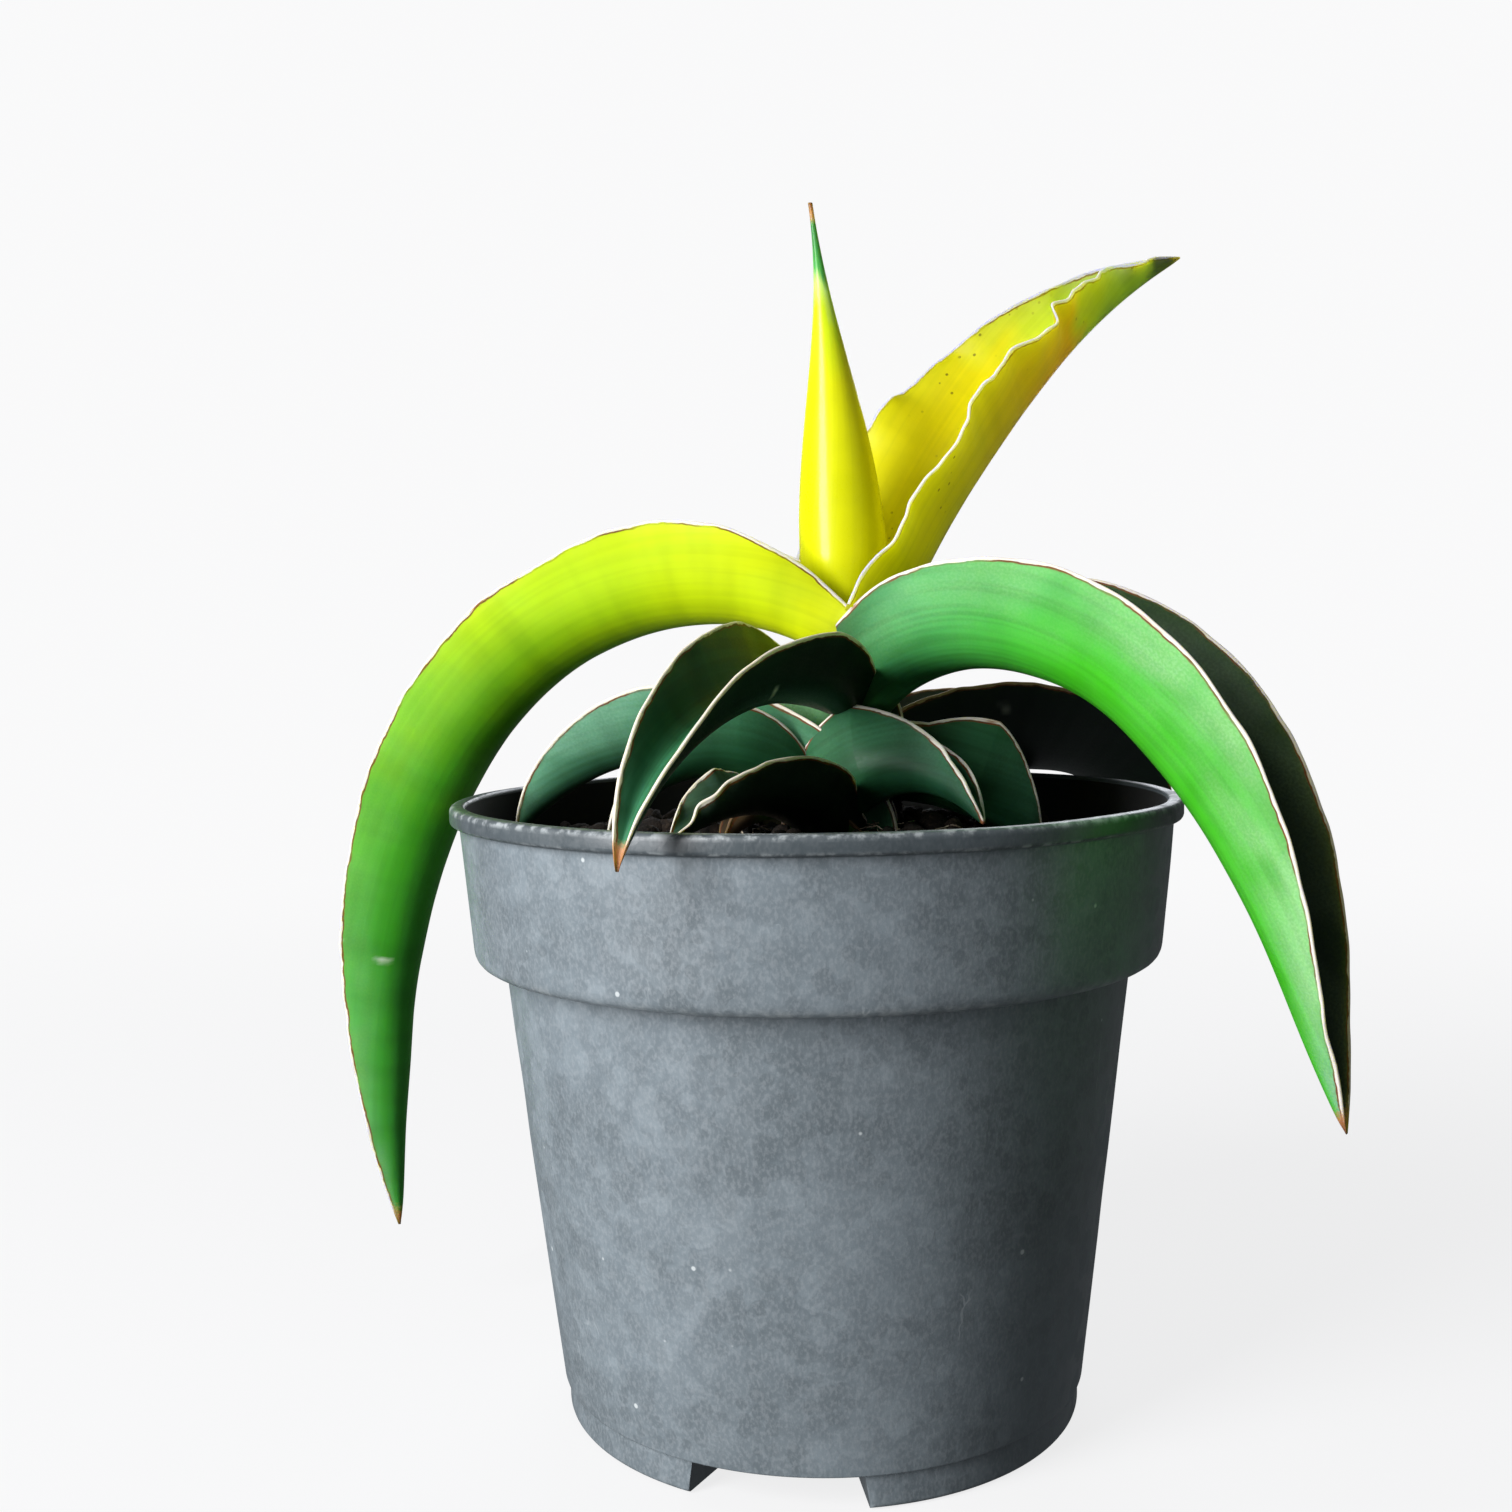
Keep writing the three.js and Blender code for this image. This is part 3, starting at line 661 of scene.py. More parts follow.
make_leaf(
    "front_right_leaf", 84, teal_green, "blue_green_leaf",
    foot=(2.7, -5.7, 3.6), heading=-30, veer=-20, rise=58, fall=-41.2, bend=1.1, length=33.6,
    width=31, broad=0.35, base=0.5, taper=0.9, fold=(76, 76, 66), roll=(-26, -26), sheath=3,
    ripple=(1.9, 6.5), bead=1.3, clasp=4)
make_leaf(
    "right_short_leaf", 95, teal_green, "blue_green_leaf",
    foot=(16.8, -2.2, 8.9), heading=2, veer=2, rise=-9, fall=-40, bend=1.1, length=23.4,
    width=33.5, broad=0.35, base=0.8, taper=1.2, fold=(80, 80, 72), roll=(-12, -12), sheath=9,
    ripple=(0.4, 8), bead=1.2, clasp=2)
make_leaf(
    "left_low_leaf", 104, teal_green, "blue_green_leaf",
    foot=(-3.7, -4.5, 7.3), heading=200, veer=7, rise=56.2, fall=-59.8, bend=1.2, length=39,
    width=21.8, broad=0.35, base=0.5, taper=1.1, fold=(78, 78, 70), roll=(22, 22), sheath=3,
    ripple=(0.3, 8), bead=1.2, clasp=5)

# %% Front low leaf and the stub of an old one
# The front low leaf's outside is its own dark green deepened to nearly black by painted shadow under the
# leaves above it.
low_leaf_painted_shadow = living_leaf(
    "living_leaf_painted_shadow_outside",
    outside=[(0.0, "#08120a"), (0.6, "#0b1a0f"), (1.0, "#183220")],
    inside=[(0.0, "#2c4a34"), (0.5, "#3d5c48"), (1.0, "#3a5a47")],
    bloom=0.12, bloom_colour="#8fae9c", dry_tip=0.99)
make_leaf(
    "front_low_leaf", 112, low_leaf_painted_shadow, "dark_leaf",
    foot=(1.9, -8.5, 1.3), heading=239.7, veer=-13.7, rise=40.4, fall=-23.2, bend=1.08, length=42,
    width=21, broad=0.35, base=0.8, taper=1.8, fold=(62, 62, 50), roll=(12, 8), sheath=3,
    ripple=(2.0, 6.5), clasp=4)
withered = living_leaf(
    "withered_leaf_papery",
    outside=[(0.0, "#4f8a2c"), (0.55, "#4a7a30"), (0.72, "#4a3a22"), (0.85, "#5b4631"), (1.0, "#3a2a1c")],
    inside=[(0.0, "#4a6a2a"), (0.5, "#4a3a24"), (1.0, "#34271b")],
    bloom=0.25, bloom_colour="#8d7a5c", dry_tip=1.2, rough=0.7, horn="#6a543c")
make_leaf(
    "old_leaf_base", 127, withered, "old_leaf",
    foot=(1, -6.5, 4.3), heading=190, veer=12, rise=42, fall=-50, bend=1, length=19, width=14,
    broad=0.4, base=0.8, taper=2.2, fold=(50, 45, 30), roll=(0, 0), sheath=2, ripple=(1.2, 5), clasp=3)

# %% [markdown]
# ## The spear
#
# The youngest leaf stands upright, rolled up like a paper cone with one edge lapped over the other.
# A plain cone would miss that lap. So the radius grows a little on the way round, and drops back at
# the lap, where the pale edge lies on the leaf below it. The seam winds slowly as it climbs.
#
# It is the smoothest and shiniest leaf, so it shows the window as a long soft streak.

# %% Spear surface
stem_top = (6, 1.5)
stem_height = 37
spear_length = 70
spear_radius = 6.9
spear_tip = 0.38
spear_neck = 12
spear_lean = (-5, 1)
spear_bow = 1           # mm that it bows to the right half way up
spear_foot_share = 0.6  # radius at the foot, as a share of the widest
spear_rings = 240
spear_sides = 120
lap_share = 0.085       # how much further out the lapping edge lies
lap_heading = -8        # degrees at the foot
lap_winding = 60        # degrees from foot to tip


def spear_skin():
    """Rings up a gently bowed axis. Radius = neck * cos^2 taper, times 1 + lap at the lapping edge."""
    s = np.linspace(0, 1, spear_rings + 1)
    foot = np.array([stem_top[0], stem_top[1], soil_level + stem_height + clearance])
    lean = np.array([spear_lean[0], spear_lean[1], spear_length])
    axis = foot + s[:, None] * lean + (4 * spear_bow * s * (1 - s))[:, None] * np.array([1, 0, 0])
    neck = spear_neck / spear_length
    swell = spear_foot_share + (1 - spear_foot_share) * smoothstep(s / neck)
    above = np.clip((s - neck) / (1 - neck), 0, 1)
    radius = swell * spear_radius * np.cos(np.pi / 2 * above) ** 2 + spear_tip
    turn = 2 * np.pi * np.arange(spear_sides) / spear_sides
    seam = np.radians(lap_heading + lap_winding * s)[:, None]
    round_from_seam = ((turn[None] - seam) / (2 * np.pi)) % 1
    near_seam = smoothstep(round_from_seam / 0.03)
    spiral = 1 + lap_share * (1 - round_from_seam) * near_seam - lap_share / 2
    wobble = 1 + 0.02 * line_noise(s * spear_length, 17, 5)[:, None]
    reach = radius[:, None] * spiral * wobble
    rings = axis[:, None] + np.stack([reach * np.cos(turn), reach * np.sin(turn), 0 * reach], -1)
    full = np.ones_like(reach)
    lapping = np.minimum(round_from_seam, 1 - round_from_seam) * 2 * np.pi * radius[:, None]
    values = {
        "along": s[:, None] * full,
        "across": 0.4 * full,
        "inside": 0 * full,
        "edge_mm": 0.35 + lapping,
        "length_mm": s[:, None] * spear_length * full,
        "width_mm": round_from_seam * 2 * np.pi * spear_radius,
        "scar": 0 * full,
    }
    return skin(rings), with_ends(values)


spear_yellow = living_leaf(
    "living_leaf_rolled_yellow",
    outside=[(0.0, "#c0cc0c"), (0.2, "#d2d404"), (0.6, "#d8da04"), (0.72, "#c6dc1a"), (0.78, "#bfe07c"),
             (0.83, "#4ca552"), (0.93, "#2f8044")],
    inside=[(0.0, "#ece904"), (1.0, "#ece904")],
    bloom=0.05, bloom_colour="#f6f39a", bands=0.05, veins=0.06, dry_tip=0.96, rough=0.3,
    horn="#efe98a", glow=0.8, depth=0.004, wax=0.2)
spear_parts, spear_values = spear_skin()
make_piece("rolled_spear_leaf", [spear_parts], spear_yellow, ["spear_leaf"], spear_values)

# %% [markdown]
# ## Stem, rhizome and roots
#
# Between the leaves the short stem shows. It is built of leaf bases, each wrapped round the next, so
# it has low steps instead of a smooth side. Below the soil it grows from a stout rhizome, with a few
# thick roots. They are tubes along curves.

# %% Stem surface
stem_foot = (1, 0)
stem_radius = 6.5
stem_top_radius = 4.5
rhizome_radius = 8
rhizome_length = 30
rhizome_depth = 24
rhizome_heading = 155
root_headings = (20, 95, 170, 235, 300)
leaf_base_run = 5.2     # mm between the steps that leaf bases make
root_radius = 2
root_tip_radius = 1
stem_rows = 220
stem_sides = 48
rhizome_rows = 60
root_rows = 40


def smooth_path(knots, count):
    """Points on a Catmull-Rom curve: each stretch is a cubic whose slopes follow the knots beside it."""
    knots = np.asarray(knots, float)
    padded = np.concatenate([[2 * knots[0] - knots[1]], knots, [2 * knots[-1] - knots[-2]]])
    place = np.linspace(0, len(knots) - 1, count)
    stretch = np.minimum(place.astype(int), len(knots) - 2)
    t = (place - stretch)[:, None]
    a, b, c, d = (padded[stretch + i] for i in range(4))
    return 0.5 * (2 * b + (c - a) * t + (2 * a - 5 * b + 4 * c - d) * t ** 2
                  + (3 * b - a - 3 * c + d) * t ** 3)


def tube_rings(path, radius, sides):
    """Circles across a path. Each keeps square to it by a fixed sideways direction."""
    along = np.gradient(path, axis=0)
    along /= np.linalg.norm(along, axis=1, keepdims=True)
    steep = np.abs(along[:, 2]).mean() > 0.7
    side = np.cross(along, (0, 1, 0) if steep else (0, 0, 1))
    side /= np.linalg.norm(side, axis=1, keepdims=True)
    over = np.cross(along, side)
    turn = 2 * np.pi * np.arange(sides) / sides
    radius = np.broadcast_to(np.asarray(radius, float).reshape(len(path), -1), (len(path), sides))
    ring = side[:, None] * np.cos(turn)[None, :, None] + over[:, None] * np.sin(turn)[None, :, None]
    return path[:, None] + radius[..., None] * ring


foot = np.array([stem_foot[0], stem_foot[1], soil_level - rhizome_depth])
top = np.array([stem_top[0], stem_top[1], soil_level + stem_height])
stem_path = smooth_path([foot, (foot + top) / 2 - (0.6, 0, 0), top], stem_rows)
share = np.linspace(0, 1, stem_rows)
slant = np.sin(2 * np.pi * np.arange(stem_sides) / stem_sides + share[:, None] * 9) * 0.5
step = (share * (stem_height + rhizome_depth) / leaf_base_run)[:, None] + slant
overlap = 0.5 * (1 - smoothstep((step % 1) / 0.9))
stem_taper = (stem_radius + (stem_top_radius - stem_radius) * share)[:, None]
stem_rings = tube_rings(stem_path, stem_taper - 0.4 + overlap, stem_sides)

heading = math.radians(rhizome_heading)
along = np.array([math.cos(heading), math.sin(heading), -0.15])
reach = np.linspace(-rhizome_radius, rhizome_length - rhizome_radius, rhizome_rows)
rhizome_path = foot + reach[:, None] * along
bulge = np.sqrt(np.maximum(0.12, 1 - np.linspace(-1, 1, rhizome_rows) ** 4)) * rhizome_radius
rhizome_rings = tube_rings(rhizome_path, bulge * (1 + 0.04 * np.sin(np.arange(rhizome_rows) * 1.3)), 32)

growth = [skin(stem_rings), skin(rhizome_rings)]
bed_depth = foot[2] - floor_thickness - rhizome_radius
for i, root_heading in enumerate(root_headings):
    angle = math.radians(root_heading)
    out = np.array([math.cos(angle), math.sin(angle), 0])
    start = foot + along * (i * rhizome_length / 12)
    spread = body_foot * 0.5
    knots = [start, start + out * spread * 0.7 - (0, 0, 0.2 * bed_depth),
             start + out * spread - (0, 0, 0.75 * bed_depth)]
    taper = np.linspace(root_radius, root_tip_radius, root_rows)
    growth.append(skin(tube_rings(smooth_path(knots, root_rows), taper, 10)))

# %% [markdown]
# The stem is pale yellow-green where leaf bases wrap it, and turns tan below the soil. The colour goes
# by height, and fine lengthwise fibres are stretched noise.

# %% Stem material
stem_finish = Finish("living_stem_fibrous", Subsurface_Weight=0.1, Subsurface_Scale=0.0015, IOR=1.43,
                     Roughness=0.55)
place = stem_finish.place()
height = stem_finish.node("SeparateXYZ", {0: place}, 2)
stem_way = stem_finish.ranged(height, (soil_level - 4) * MM, (soil_level + stem_height) * MM, way="LINEAR")
stem_finish.colour = stem_finish.ramp(stem_way, [
    (0.0, "#7a6642"), (0.14, "#7f8a45"), (0.4, "#8fae3c"), (0.75, "#c4d02c"), (1.0, "#dde015")])
fibres = stem_finish.noise(stem_finish.node("Mapping", {0: place, 3: (900, 900, 60)}), 1.0)
stem_finish.lay(stem_finish.ranged(fibres, 0.35, 0.65, 0.0, 0.4, "LINEAR"), "#6f7f35", "MULTIPLY")
stem_skin = stem_finish.done(None, fibres, 0.4, 0.0002)
make_piece("stem_with_rhizome", growth, stem_skin, ["stem_rhizome_and_roots"])

# %% [markdown]
# ## The pot
#
# A nursery pot is injection moulded: about a millimetre of polypropylene, with every corner rounded
# so that it leaves its mould. It is turned, so its outline is drawn once, with a radius at each
# corner, and carried round the axis. Three notches lift the foot for drainage, each with a hole.
# Thin plastic never stays quite true, so the outline waves by a fraction of a millimetre.

# %% Pot surface
pot_sectors = 360
corner_steps = 6
drain_radius = 3
foot_round = 0.8
body_round = 0.6
rim_round = 1.1
outline_step = 1.6      # mm between rings, which are never twice this apart
wave_height = 0.22      # mm that thin plastic is out of true


def rounded_outline(corners, spacing):
    """Straight stretches between corners, each corner an arc of its own radius, cut into short steps."""
    corners = [np.array(c, float) for c in corners]
    path = [corners[0][:2]]
    for before, corner, after in zip(corners, corners[1:], corners[2:]):
        into = corner[:2] - before[:2]
        out = after[:2] - corner[:2]
        into_length, out_length = np.linalg.norm(into), np.linalg.norm(out)
        into, out = into / into_length, out / out_length
        bend_angle = math.acos(np.clip(into @ out, -1, 1))
        back = min(corner[2] * math.tan(bend_angle / 2), 0.48 * into_length, 0.48 * out_length)
        for share in np.linspace(0, 1, corner_steps + 1) if corner[2] else [0.5]:
            first = corner[:2] - into * back * (1 - share)
            second = corner[:2] + out * back * share
            path.append(first + (second - first) * share)
    path.append(corners[-1][:2])
    finer = [path[0]]
    for point in path[1:]:
        gap = np.linalg.norm(point - finer[-1])
        pieces = max(1, int(gap / spacing))
        start = finer[-1]
        finer += [start + (point - start) * (i + 1) / pieces for i in range(pieces)]
    return np.array(finer)


notch_inner = foot_radius - notch_depth
outside_corners = [
    (0.3, 0, 0), (notch_inner - 0.4, 0, 0), (notch_inner + 0.4, 0, 0), (foot_radius, 0, foot_round),
    (foot_radius, foot_height, 0.3), (body_foot, foot_height, 0.4), (body_radius, step_level, body_round),
    (collar_foot, step_level, step_round), (collar_radius, pot_height - lip_height, 0.5),
    (rim_radius, pot_height - lip_height, 0.9), (rim_radius, pot_height, rim_round),
    (collar_radius - wall, pot_height, 0.8)]
inside_corners = [
    (collar_foot - wall, step_level + wall, step_round - wall),
    (body_radius - wall, step_level + wall, body_round),
    (body_foot - wall, foot_height + 2 * wall, 0.5), (foot_radius - wall, foot_height + wall, 0.5),
    (foot_radius - wall, floor_thickness, 0.5), (notch_inner - wall + 0.4, floor_thickness, 0),
    (notch_inner - wall - 0.4, floor_thickness, 0), (0.3, floor_thickness, 0)]
outline = rounded_outline(outside_corners + inside_corners, outline_step)
turn = 2 * np.pi * np.arange(pot_sectors) / pot_sectors
r = np.repeat(outline[:, :1], pot_sectors, 1)
z = np.repeat(outline[:, 1:], pot_sectors, 1)
inner_from = int(np.argmin(np.hypot(*(outline - (collar_foot - wall, step_level + 6)).T)))
is_inner = (np.arange(len(outline)) >= inner_from)[:, None]

from_notch = (np.degrees(turn) - notch_heading + 60) % (360 / notch_count) - 60
in_notch = smoothstep((notch_span / 2 + np.where(is_inner, 1.2, 0) - np.abs(from_notch)) / 0.9 + 0.5)
in_notch = in_notch * (r > notch_inner - np.where(is_inner, wall, 0))
roof = foot_height + np.where(is_inner, wall, 0)
z = np.where(z < roof, z + (roof - z) * 0.985 * in_notch, z)

around = np.stack([r * np.cos(turn), r * np.sin(turn), z], -1)
wave = wave_height * value_noise(around, 31, 301) + 0.06 * value_noise(around, 9, 302)
r = r + wave * smoothstep(z / 20) * (r > 5)
z = z + 0.16 * value_noise(around, 23, 303) * smoothstep((z - 90) / 8)
pot_points = np.stack([r * np.cos(turn), r * np.sin(turn), z], -1)
corner_wear = np.maximum.reduce([
    smoothstep(1 - np.abs(np.hypot(r - rim_radius + 0.3, z - pot_height + 0.3)) / 0.9),
    0.8 * smoothstep(1 - np.abs(np.hypot(r - rim_radius, z - pot_height + lip_height)) / 0.7),
    0.7 * smoothstep(1 - np.abs(np.hypot(r - collar_foot + 1.0, z - step_level - 1.0)) / 1.6)])
pot_wear = np.concatenate([corner_wear.reshape(-1), [0, 0]])
past_rim = int(np.argmin(np.hypot(*(outline - (collar_radius - wall, pot_height - 1.5)).T)))
outward = np.broadcast_to(np.arange(len(outline))[:, None] < past_rim, r.shape).astype(float)
pot_outer = np.concatenate([outward.reshape(-1), [1, 0]])
on_lip = smoothstep((z - pot_height + lip_height + 0.4) / 0.4) * outward
pot_lip = np.concatenate([on_lip.reshape(-1), [0, 0]])
print("pot outline has", len(outline), "points")

# %% [markdown]
# ## The pot's finish
#
# Recycled black polypropylene, injection moulded with a fine satin texture. It is charcoal, but it
# has been watered for years: lime has dried on it in round marks that overlap, a little lighter and
# rougher than bare plastic, and between them lie darker ones. There are scuffs along its corners,
# stray pale specks, and a few scratches. The marks are cell noise, 3 to 6 mm across; the moulded
# grain is really 0.1 mm, so it is drawn at 0.5 mm, or it would not show.

# %% Pot material
plastic = Finish("recycled_polypropylene_moulded", IOR=1.49)
times, plus, ranged = plastic.times, plastic.plus, plastic.ranged
place = plastic.place()
wander = plastic.node("TexNoise", {"Vector": place, "Scale": 400.0, "Detail": 2.0}, "Color")
wander = plastic.node("VectorMath", {0: wander, "Scale": 0.0016}, operation="SCALE")
pushed = plastic.node("VectorMath", {0: place, 1: wander}, operation="ADD")


def pot_noise(scale, detail=3.0, stretch=1.0, shift=0.0):
    """Noise with so many cells to the metre, stretched upwards by a share."""
    mapped = plastic.node("Mapping", {0: place, 1: (shift, shift, 0), 3: (1, 1, 1 / stretch)})
    return plastic.noise(mapped, scale, detail, Roughness=0.6)


def random_cells(spot, scale):
    """How far a spot is from the middle of its random cell, and a random share for that cell."""
    distance = plastic.node("TexVoronoi", {"Vector": spot, "Scale": scale})
    return distance, plastic.node("SeparateXYZ", {0: distance.node.outputs["Color"]})


def dried_drops(scale, shift):
    """Round marks with a soft edge, so many cells to the metre, each with its own strength."""
    moved = plastic.node("VectorMath", {0: pushed, 1: (shift, shift, shift)}, operation="ADD")
    distance, strength = random_cells(moved, scale)
    return times(ranged(distance, 0.56, 0.46), ranged(strength, 0.1, 0.8))


# %% Plastic, lime and dark marks
lime_drift = pot_noise(38.0, 4.0)
mist = pot_noise(180.0, 5.0)
grain = pot_noise(2000.0, 2.0, 1.6)
streaks = pot_noise(300.0, 3.0, 9.0, 0.3)
outer = plastic.stored("outer")
lime = plus(times(dried_drops(170.0, 0.0), 0.6), times(dried_drops(330.0, 0.31), 0.5))
lime = times(lime, ranged(lime_drift, 0.35, 0.62, 0.35, 1.0))
dark_drops = plastic.math("ADD", dried_drops(240.0, 0.77), dried_drops(390.0, 0.53), use_clamp=True)

plastic.colour = plastic.blend(ranged(lime_drift, 0.35, 0.65), linear("#666f74"), linear("#717b81"))
plastic.lay(ranged(mist, 0.4, 0.62, 0.0, 0.2), "#7c868b")
plastic.lay(times(lime, 0.26), "#929da3")
plastic.lay(times(times(dark_drops, 0.34), ranged(lime_drift, 0.62, 0.4, 0.35, 1.0)), "#4c5458")
plastic.lay(ranged(streaks, 0.5, 0.72, 0.0, 0.14), "#838a8e")
plastic.lay(ranged(grain, 0.4, 0.7, 0.0, 0.3), "#969ca0")
plastic.lay(times(plastic.stored("lip"), 0.75), "#30373a")
# Inside the rim the wall is painted near black: partly bare plastic with no lime, and partly painted shade
# in the pot's hollow.
plastic.colour = plastic.blend(outer, linear("#040606"), plastic.colour)

# %% Specks, scratches and scuffs
from_speck, speck_pick = random_cells(place, 210.0)
plastic.lay(times(ranged(from_speck, 0.1, 0.06), ranged(speck_pick, 0.8, 0.82)), "#b9bfc0")
slanted = plastic.node("Mapping", {0: pushed, 2: (0.4, 0.2, 0.5), 3: (1, 1, 0.45)})
from_line = plastic.node("TexVoronoi", {"Vector": slanted, "Scale": 75.0}, feature="DISTANCE_TO_EDGE")
scratch = times(ranged(from_line, 0.012, 0.004), ranged(pot_noise(60.0, 2.0, 1, 0.7), 0.64, 0.7))
plastic.lay(times(scratch, 0.35), "#aab1b4")
scuffed = times(plastic.stored("wear"), ranged(pot_noise(420.0, 4.0), 0.45, 0.62, 0.05, 0.7))
plastic.lay(scuffed, "#b4babb")
rough = plus(ranged(lime, 0.0, 0.8, 0.34, 0.5), ranged(grain, 0.3, 0.7, -0.04, 0.08))
rough = plastic.blend(outer, (0.85, 0.85, 0.85, 1), rough)
pot_plastic = plastic.done(rough, plus(times(grain, 0.5), times(lime, 0.35)), 0.5, 0.0001)
pot = make_piece("moulded_nursery_pot", [skin(pot_points)], pot_plastic, ["nursery_pot"],
                 {"wear": pot_wear, "outer": pot_outer, "lip": pot_lip})

# %% [markdown]
# Each notch has one round drain hole through its roof, punched half way in from the foot. Three short
# rods are taken away from the finished pot, so the holes have true edges.

# %% Drain holes
drain_reach = foot_radius - notch_depth / 2
drain_sides = 48
rod_circle = drain_radius * np.exp(2j * np.pi * np.arange(drain_sides) / drain_sides)
rods = []
for i in range(notch_count):
    middle = drain_reach * np.exp(1j * math.radians(notch_heading + 360 * i / notch_count))
    rod = middle + rod_circle
    rod_rings = [np.stack([rod.real, rod.imag, 0 * rod.real + level], -1)
                 for level in (foot_height - 1, foot_height + 2 * wall)]
    rods.append(skin(np.array(rod_rings)))
punch = make_piece("punch", rods, pot_plastic)
cut = pot.modifiers.new("drain_holes", "BOOLEAN")
cut.object = punch
punched = bpy.data.meshes.new_from_object(pot.evaluated_get(bpy.context.evaluated_depsgraph_get()))
pot.modifiers.clear()
pot.data = punched
bpy.data.objects.remove(punch)
work = bmesh.new()
work.from_mesh(punched)
open_edges = sum(not edge.is_manifold for edge in work.edges)
print("drained pot:", len(work.faces), "faces,", open_edges, "open edges")
work.free()

# %% [markdown]
# ## Potting soil
#
# Old peat is a black crumb with darker holes, not a smooth surface. The bed is one closed skin: its
# top is a low mound, roughened by three sizes of noise, and its side follows the pot's inside. Loose
# crumbs lie on it, each a small lump that noise has pushed out of round.

# %% Soil surface
soil_sectors = 300
soil_rows = 150
soil_middle = 0.4       # mm, the radius of the innermost ring
soil_edge = collar_radius - wall - clearance - collar_taper * soil_drop / collar_height
soil_bumps = ((0.9, 9, 401), (0.6, 3.2, 402), (0.3, 1.2, 403))      # height and size in mm, seed


def soil_height(x, y):
    """The mound, 1 - r^2, plus noise of 9, 3 and 1 mm that fades at the wall."""
    share = np.hypot(x, y) / soil_edge
    spot = np.stack([x, y, 0 * x], -1)
    rough = sum(high * value_noise(spot, size, seed) for high, size, seed in soil_bumps)
    return soil_level + soil_mound * (1 - share ** 2) + rough * smoothstep((1 - share) * 12)


top_radii = np.linspace(soil_middle, soil_edge, soil_rows)
turn = 2 * np.pi * np.arange(soil_sectors) / soil_sectors
x = top_radii[:, None] * np.cos(turn)
y = top_radii[:, None] * np.sin(turn)
top_rings = np.stack([x, y, soil_height(x, y)], -1)
inset = wall + clearance
bed_floor = floor_thickness + clearance
side = np.array([
    (collar_foot - inset, step_level + step_round), (collar_foot - step_round, step_level + inset),
    (body_radius - inset, step_level + inset), (body_foot - inset, foot_height + 2 * inset),
    (notch_inner - 3, foot_height + 2 * inset), (notch_inner - 3, bed_floor), (soil_middle, bed_floor)])
side_rings = np.stack([side[:, :1] * np.cos(turn), side[:, :1] * np.sin(turn),
                       np.repeat(side[:, 1:], soil_sectors, 1)], -1)
bed = skin(np.concatenate([top_rings, side_rings]))

# %% Soil crumbs
ball = bmesh.new()
bmesh.ops.create_icosphere(ball, subdivisions=2, radius=1)
ball_points = np.array([v.co for v in ball.verts])
ball_faces = [[v.index for v in face.verts] for face in ball.faces]
ball.free()
draw = np.random.default_rng(17)
crumb_count = 900
crumb_smallest = 0.45
crumb_largest = 2.4
crumb_lift = 0.25       # how far its middle stands above the bed, as a share of its size


def crumbs():
    """Lumps with radii spread by a cube law, so most are small, each a little less than half sunk."""
    parts = []
    for i in range(crumb_count):
        size = crumb_smallest + (crumb_largest - crumb_smallest) * draw.uniform() ** 3
        reach = (soil_edge - size - 0.4) * math.sqrt(draw.uniform(0.02, 1))
        angle = draw.uniform(0, 2 * math.pi)
        x, y = reach * math.cos(angle), reach * math.sin(angle)
        lump = ball_points * draw.uniform(0.65, 1.25, 3)
        lump = lump * (1 + 0.35 * value_noise(ball_points + draw.uniform(0, 30, 3), 0.9, 411))[:, None]
        turned_by = np.linalg.qr(draw.normal(size=(3, 3)))[0]
        if np.linalg.det(turned_by) < 0:
            turned_by[:, 0] *= -1
        centre = (x, y, float(soil_height(np.array(x), np.array(y))) + size * crumb_lift)
        parts.append((lump @ turned_by.T * size + centre, ball_faces))
    return parts


peat_parts = [bed] + crumbs()

# %% [markdown]
# Damp peat is nearly black, brown only where it has dried. Two sizes of noise vary it, and it is
# nearly as rough as a surface can be.

# %% Soil material
peat = Finish("damp_peat_crumbled", Roughness=0.9, Specular_IOR_Level=0.25)
place = peat.place()
dust = peat.noise(place, 1500.0, 4.0)
peat.colour = peat.ramp(peat.noise(place, 260.0, 6.0), [
    (0.35, "#0d0b09"), (0.5, "#1a1511"), (0.64, "#2b221a"), (0.75, "#43362a")])
peat.lay(peat.ranged(dust, 0.55, 0.75, 0.0, 0.35, "LINEAR"), "#5a4b3b")
make_piece("peat_bed_with_crumbs", peat_parts, peat.done(None, dust, 0.8, 0.0006), ["potting_soil"])

# %% [markdown]
# Fine pale roots wander over the peat between the front leaves. Each is a thin tube on a curve whose
# heading drifts at random, and it dips in and out of the surface.

# %% Root hairs
hair_count = 46
hair_radius = 0.14
hair_steps = 26
hair_turn = 0.22        # radians that the heading drifts by at each step


def root_hair():
    """A tube whose heading adds up small random turns, laid on the bed and waved up and down."""
    reach = draw.uniform(12, soil_edge - 6)
    angle = math.radians(draw.uniform(200, 340))
    heading = draw.uniform(0, 2 * math.pi) + np.cumsum(draw.normal(0, hair_turn, hair_steps))
    run = draw.uniform(0.35, 0.8)
    x = reach * math.cos(angle) + np.cumsum(np.cos(heading) * run)
    y = reach * math.sin(angle) + np.cumsum(np.sin(heading) * run)
    far = np.hypot(x, y) / (soil_edge - 1.5)
    x, y = x / np.maximum(1, far), y / np.maximum(1, far)
    wave = np.linspace(0, math.pi * draw.uniform(1, 2.5), hair_steps)
    lift = 0.5 + 1.1 * np.sin(wave + draw.uniform(0, 3))
    path = np.stack([x, y, soil_height(x, y) + lift], -1)
    return skin(tube_rings(path, hair_radius * np.linspace(1, 0.5, hair_steps), 6))


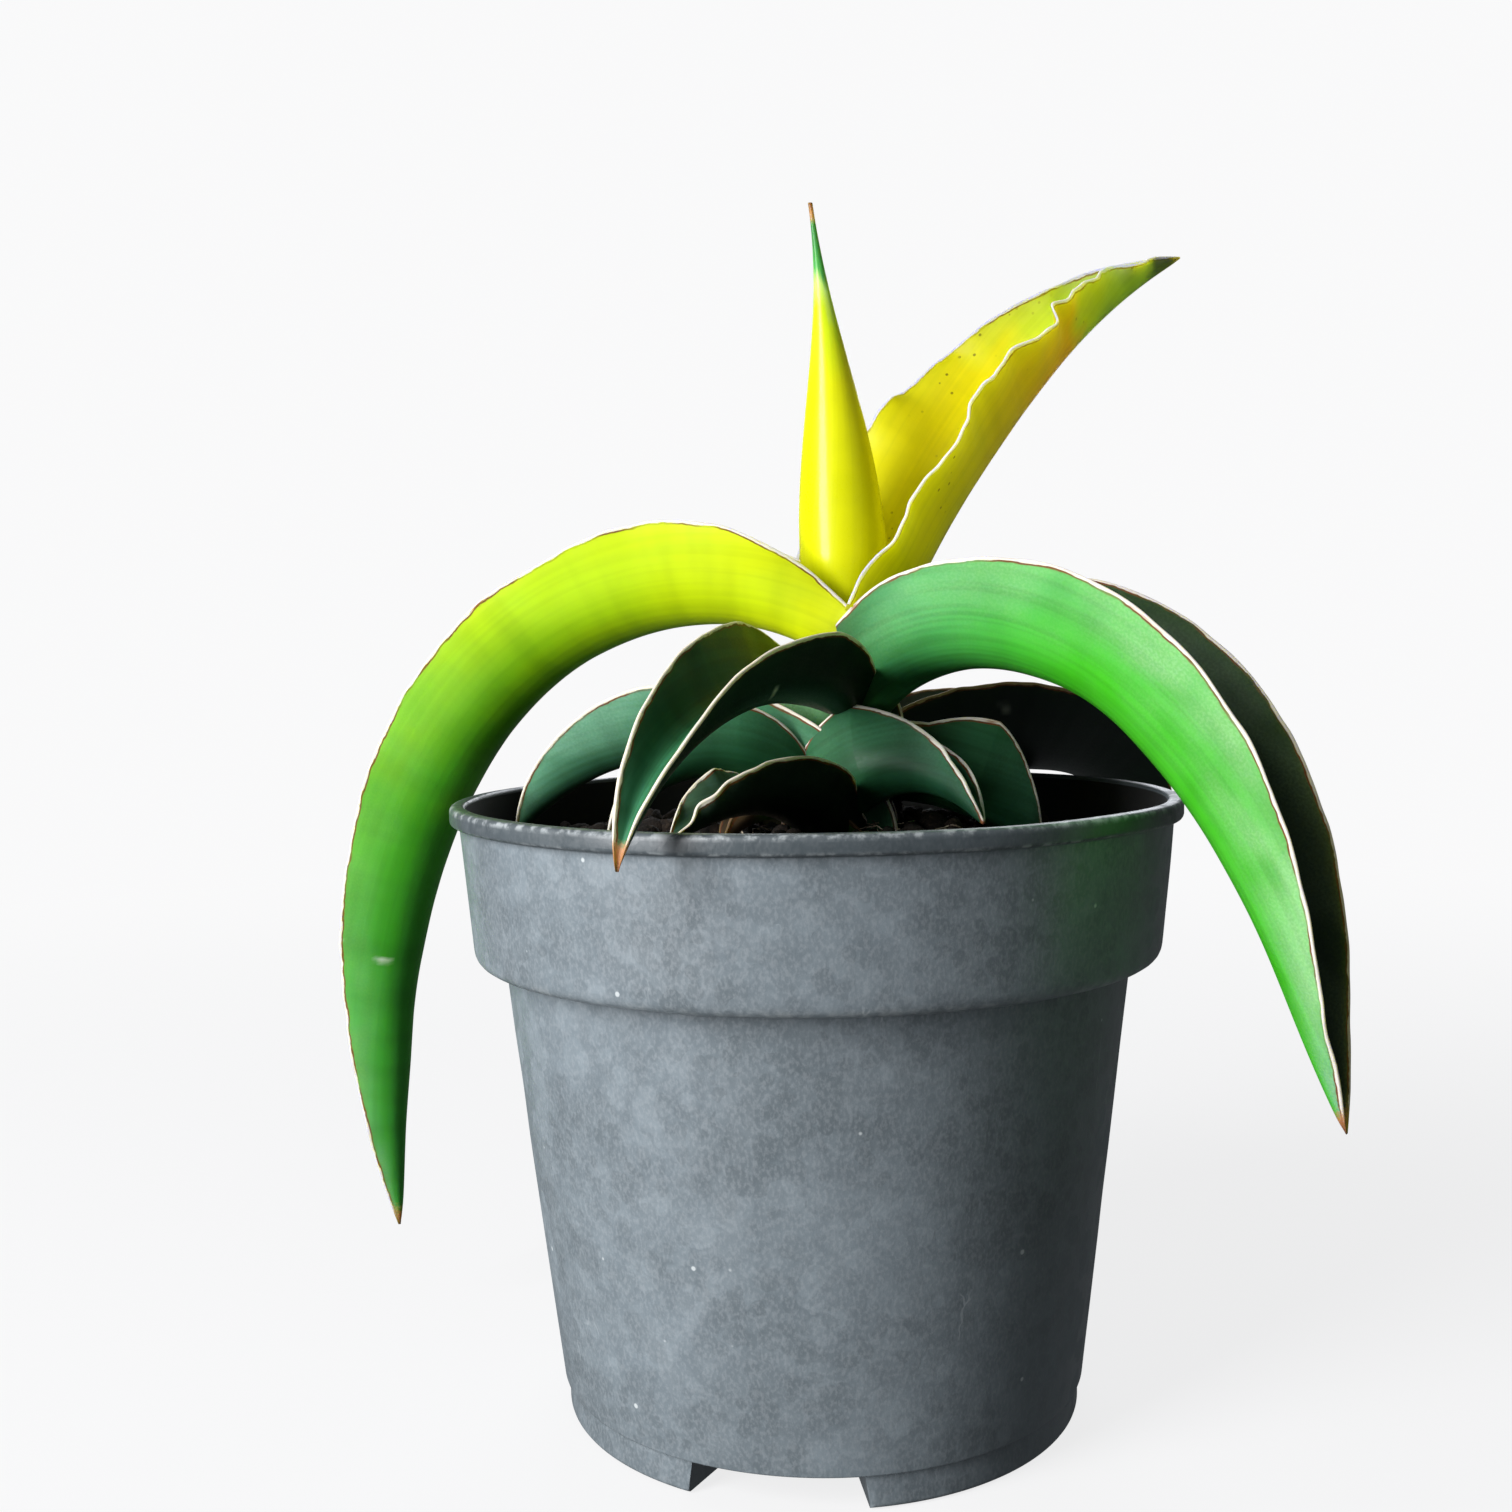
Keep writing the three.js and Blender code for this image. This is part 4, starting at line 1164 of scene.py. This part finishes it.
dry_root = Finish("fine_root_dried", Roughness=0.7)
tint = dry_root.noise(dry_root.place(), 300.0)
dry_root.colour = dry_root.ramp(tint, [(0.35, "#6f6250"), (0.6, "#b8ab95")])
make_piece("fine_surface_roots", [root_hair() for i in range(hair_count)], dry_root.done())

# %% [markdown]
# ## Floor, light and air
#
# The setting is plain: a white floor that fades into white air, so no horizon shows. One large soft
# window stands at the left and in front. It gives the long streak on the spear and the broad sheen on
# the pot. A weaker one behind lights the far edges, and the air itself fills the shadows faintly.

# %% Floor
floor_size = 6.0
air_white = 0.95
air_colour = (air_white, air_white, air_white * 1.005, 1)
floor_mesh = bpy.data.meshes.new("floor")
corner = floor_size / 2
floor_corners = [(-corner, -corner, 0), (corner, -corner, 0), (corner, corner, 0), (-corner, corner, 0)]
floor_mesh.from_pydata(floor_corners, [], [(0, 1, 2, 3)])
floor = bpy.data.objects.new("floor", floor_mesh)
bpy.context.scene.collection.objects.link(floor)
floor.location.z = -0.0002
paper = Finish("white_paper_sweep", Roughness=0.9, Specular_IOR_Level=0.1, Base_Color=linear("#e9e9e9"))
away = paper.node("VectorMath", {0: paper.place()}, "Value", operation="LENGTH")
far = paper.ranged(away, 0.1, 0.7, 0.85, 1.0)
glow = paper.node("Emission", {"Color": air_colour})
mixed = paper.node("MixShader", {0: far, 1: paper.shader.outputs[0], 2: glow})
paper.tree.links.new(mixed, paper.tree.nodes["Material Output"].inputs[0])
floor_mesh.materials.append(paper.material)
floor.visible_diffuse = False
floor.visible_glossy = False

# %% Air and windows
air_fill = 0.115
window_aim = 0.11       # metres above the floor
world = bpy.data.worlds.new("air")
bpy.context.scene.world = world
world.use_nodes = True
tree = world.node_tree
seen = tree.nodes["Background"]
seen.inputs[0].default_value = air_colour
fill = add_node(tree, "Background", {"Color": linear("#eef3f8"), "Strength": air_fill})
ray = add_node(tree, "LightPath", output="Is Camera Ray")
mixed = add_node(tree, "MixShader", {0: ray, 1: fill, 2: seen.outputs[0]})
tree.links.new(mixed, tree.nodes["World Output"].inputs[0])


def soft_light(name, heading, height, distance, width, tall, power, colour):
    """A soft rectangle of light that faces the plant from a compass heading, 0 being the viewer's side."""
    data = bpy.data.lights.new(name, "AREA")
    data.shape = "RECTANGLE"
    data.size, data.size_y = width, tall
    data.energy = power
    data.color = linear(colour)[:3]
    light = bpy.data.objects.new(name, data)
    bpy.context.scene.collection.objects.link(light)
    angle = math.radians(heading)
    light.location = (distance * math.sin(angle), -distance * math.cos(angle), height)
    aim = Vector((0, 0, window_aim)) - light.location
    light.rotation_euler = aim.to_track_quat("-Z", "Y").to_euler()


soft_light("window", -52, 0.4, 0.9, 0.38, 0.9, 20, "#fdfdff")
soft_light("back_window", 172, 0.55, 1.1, 0.7, 0.7, 5, "#f4f8ff")
print("floor and light ready")
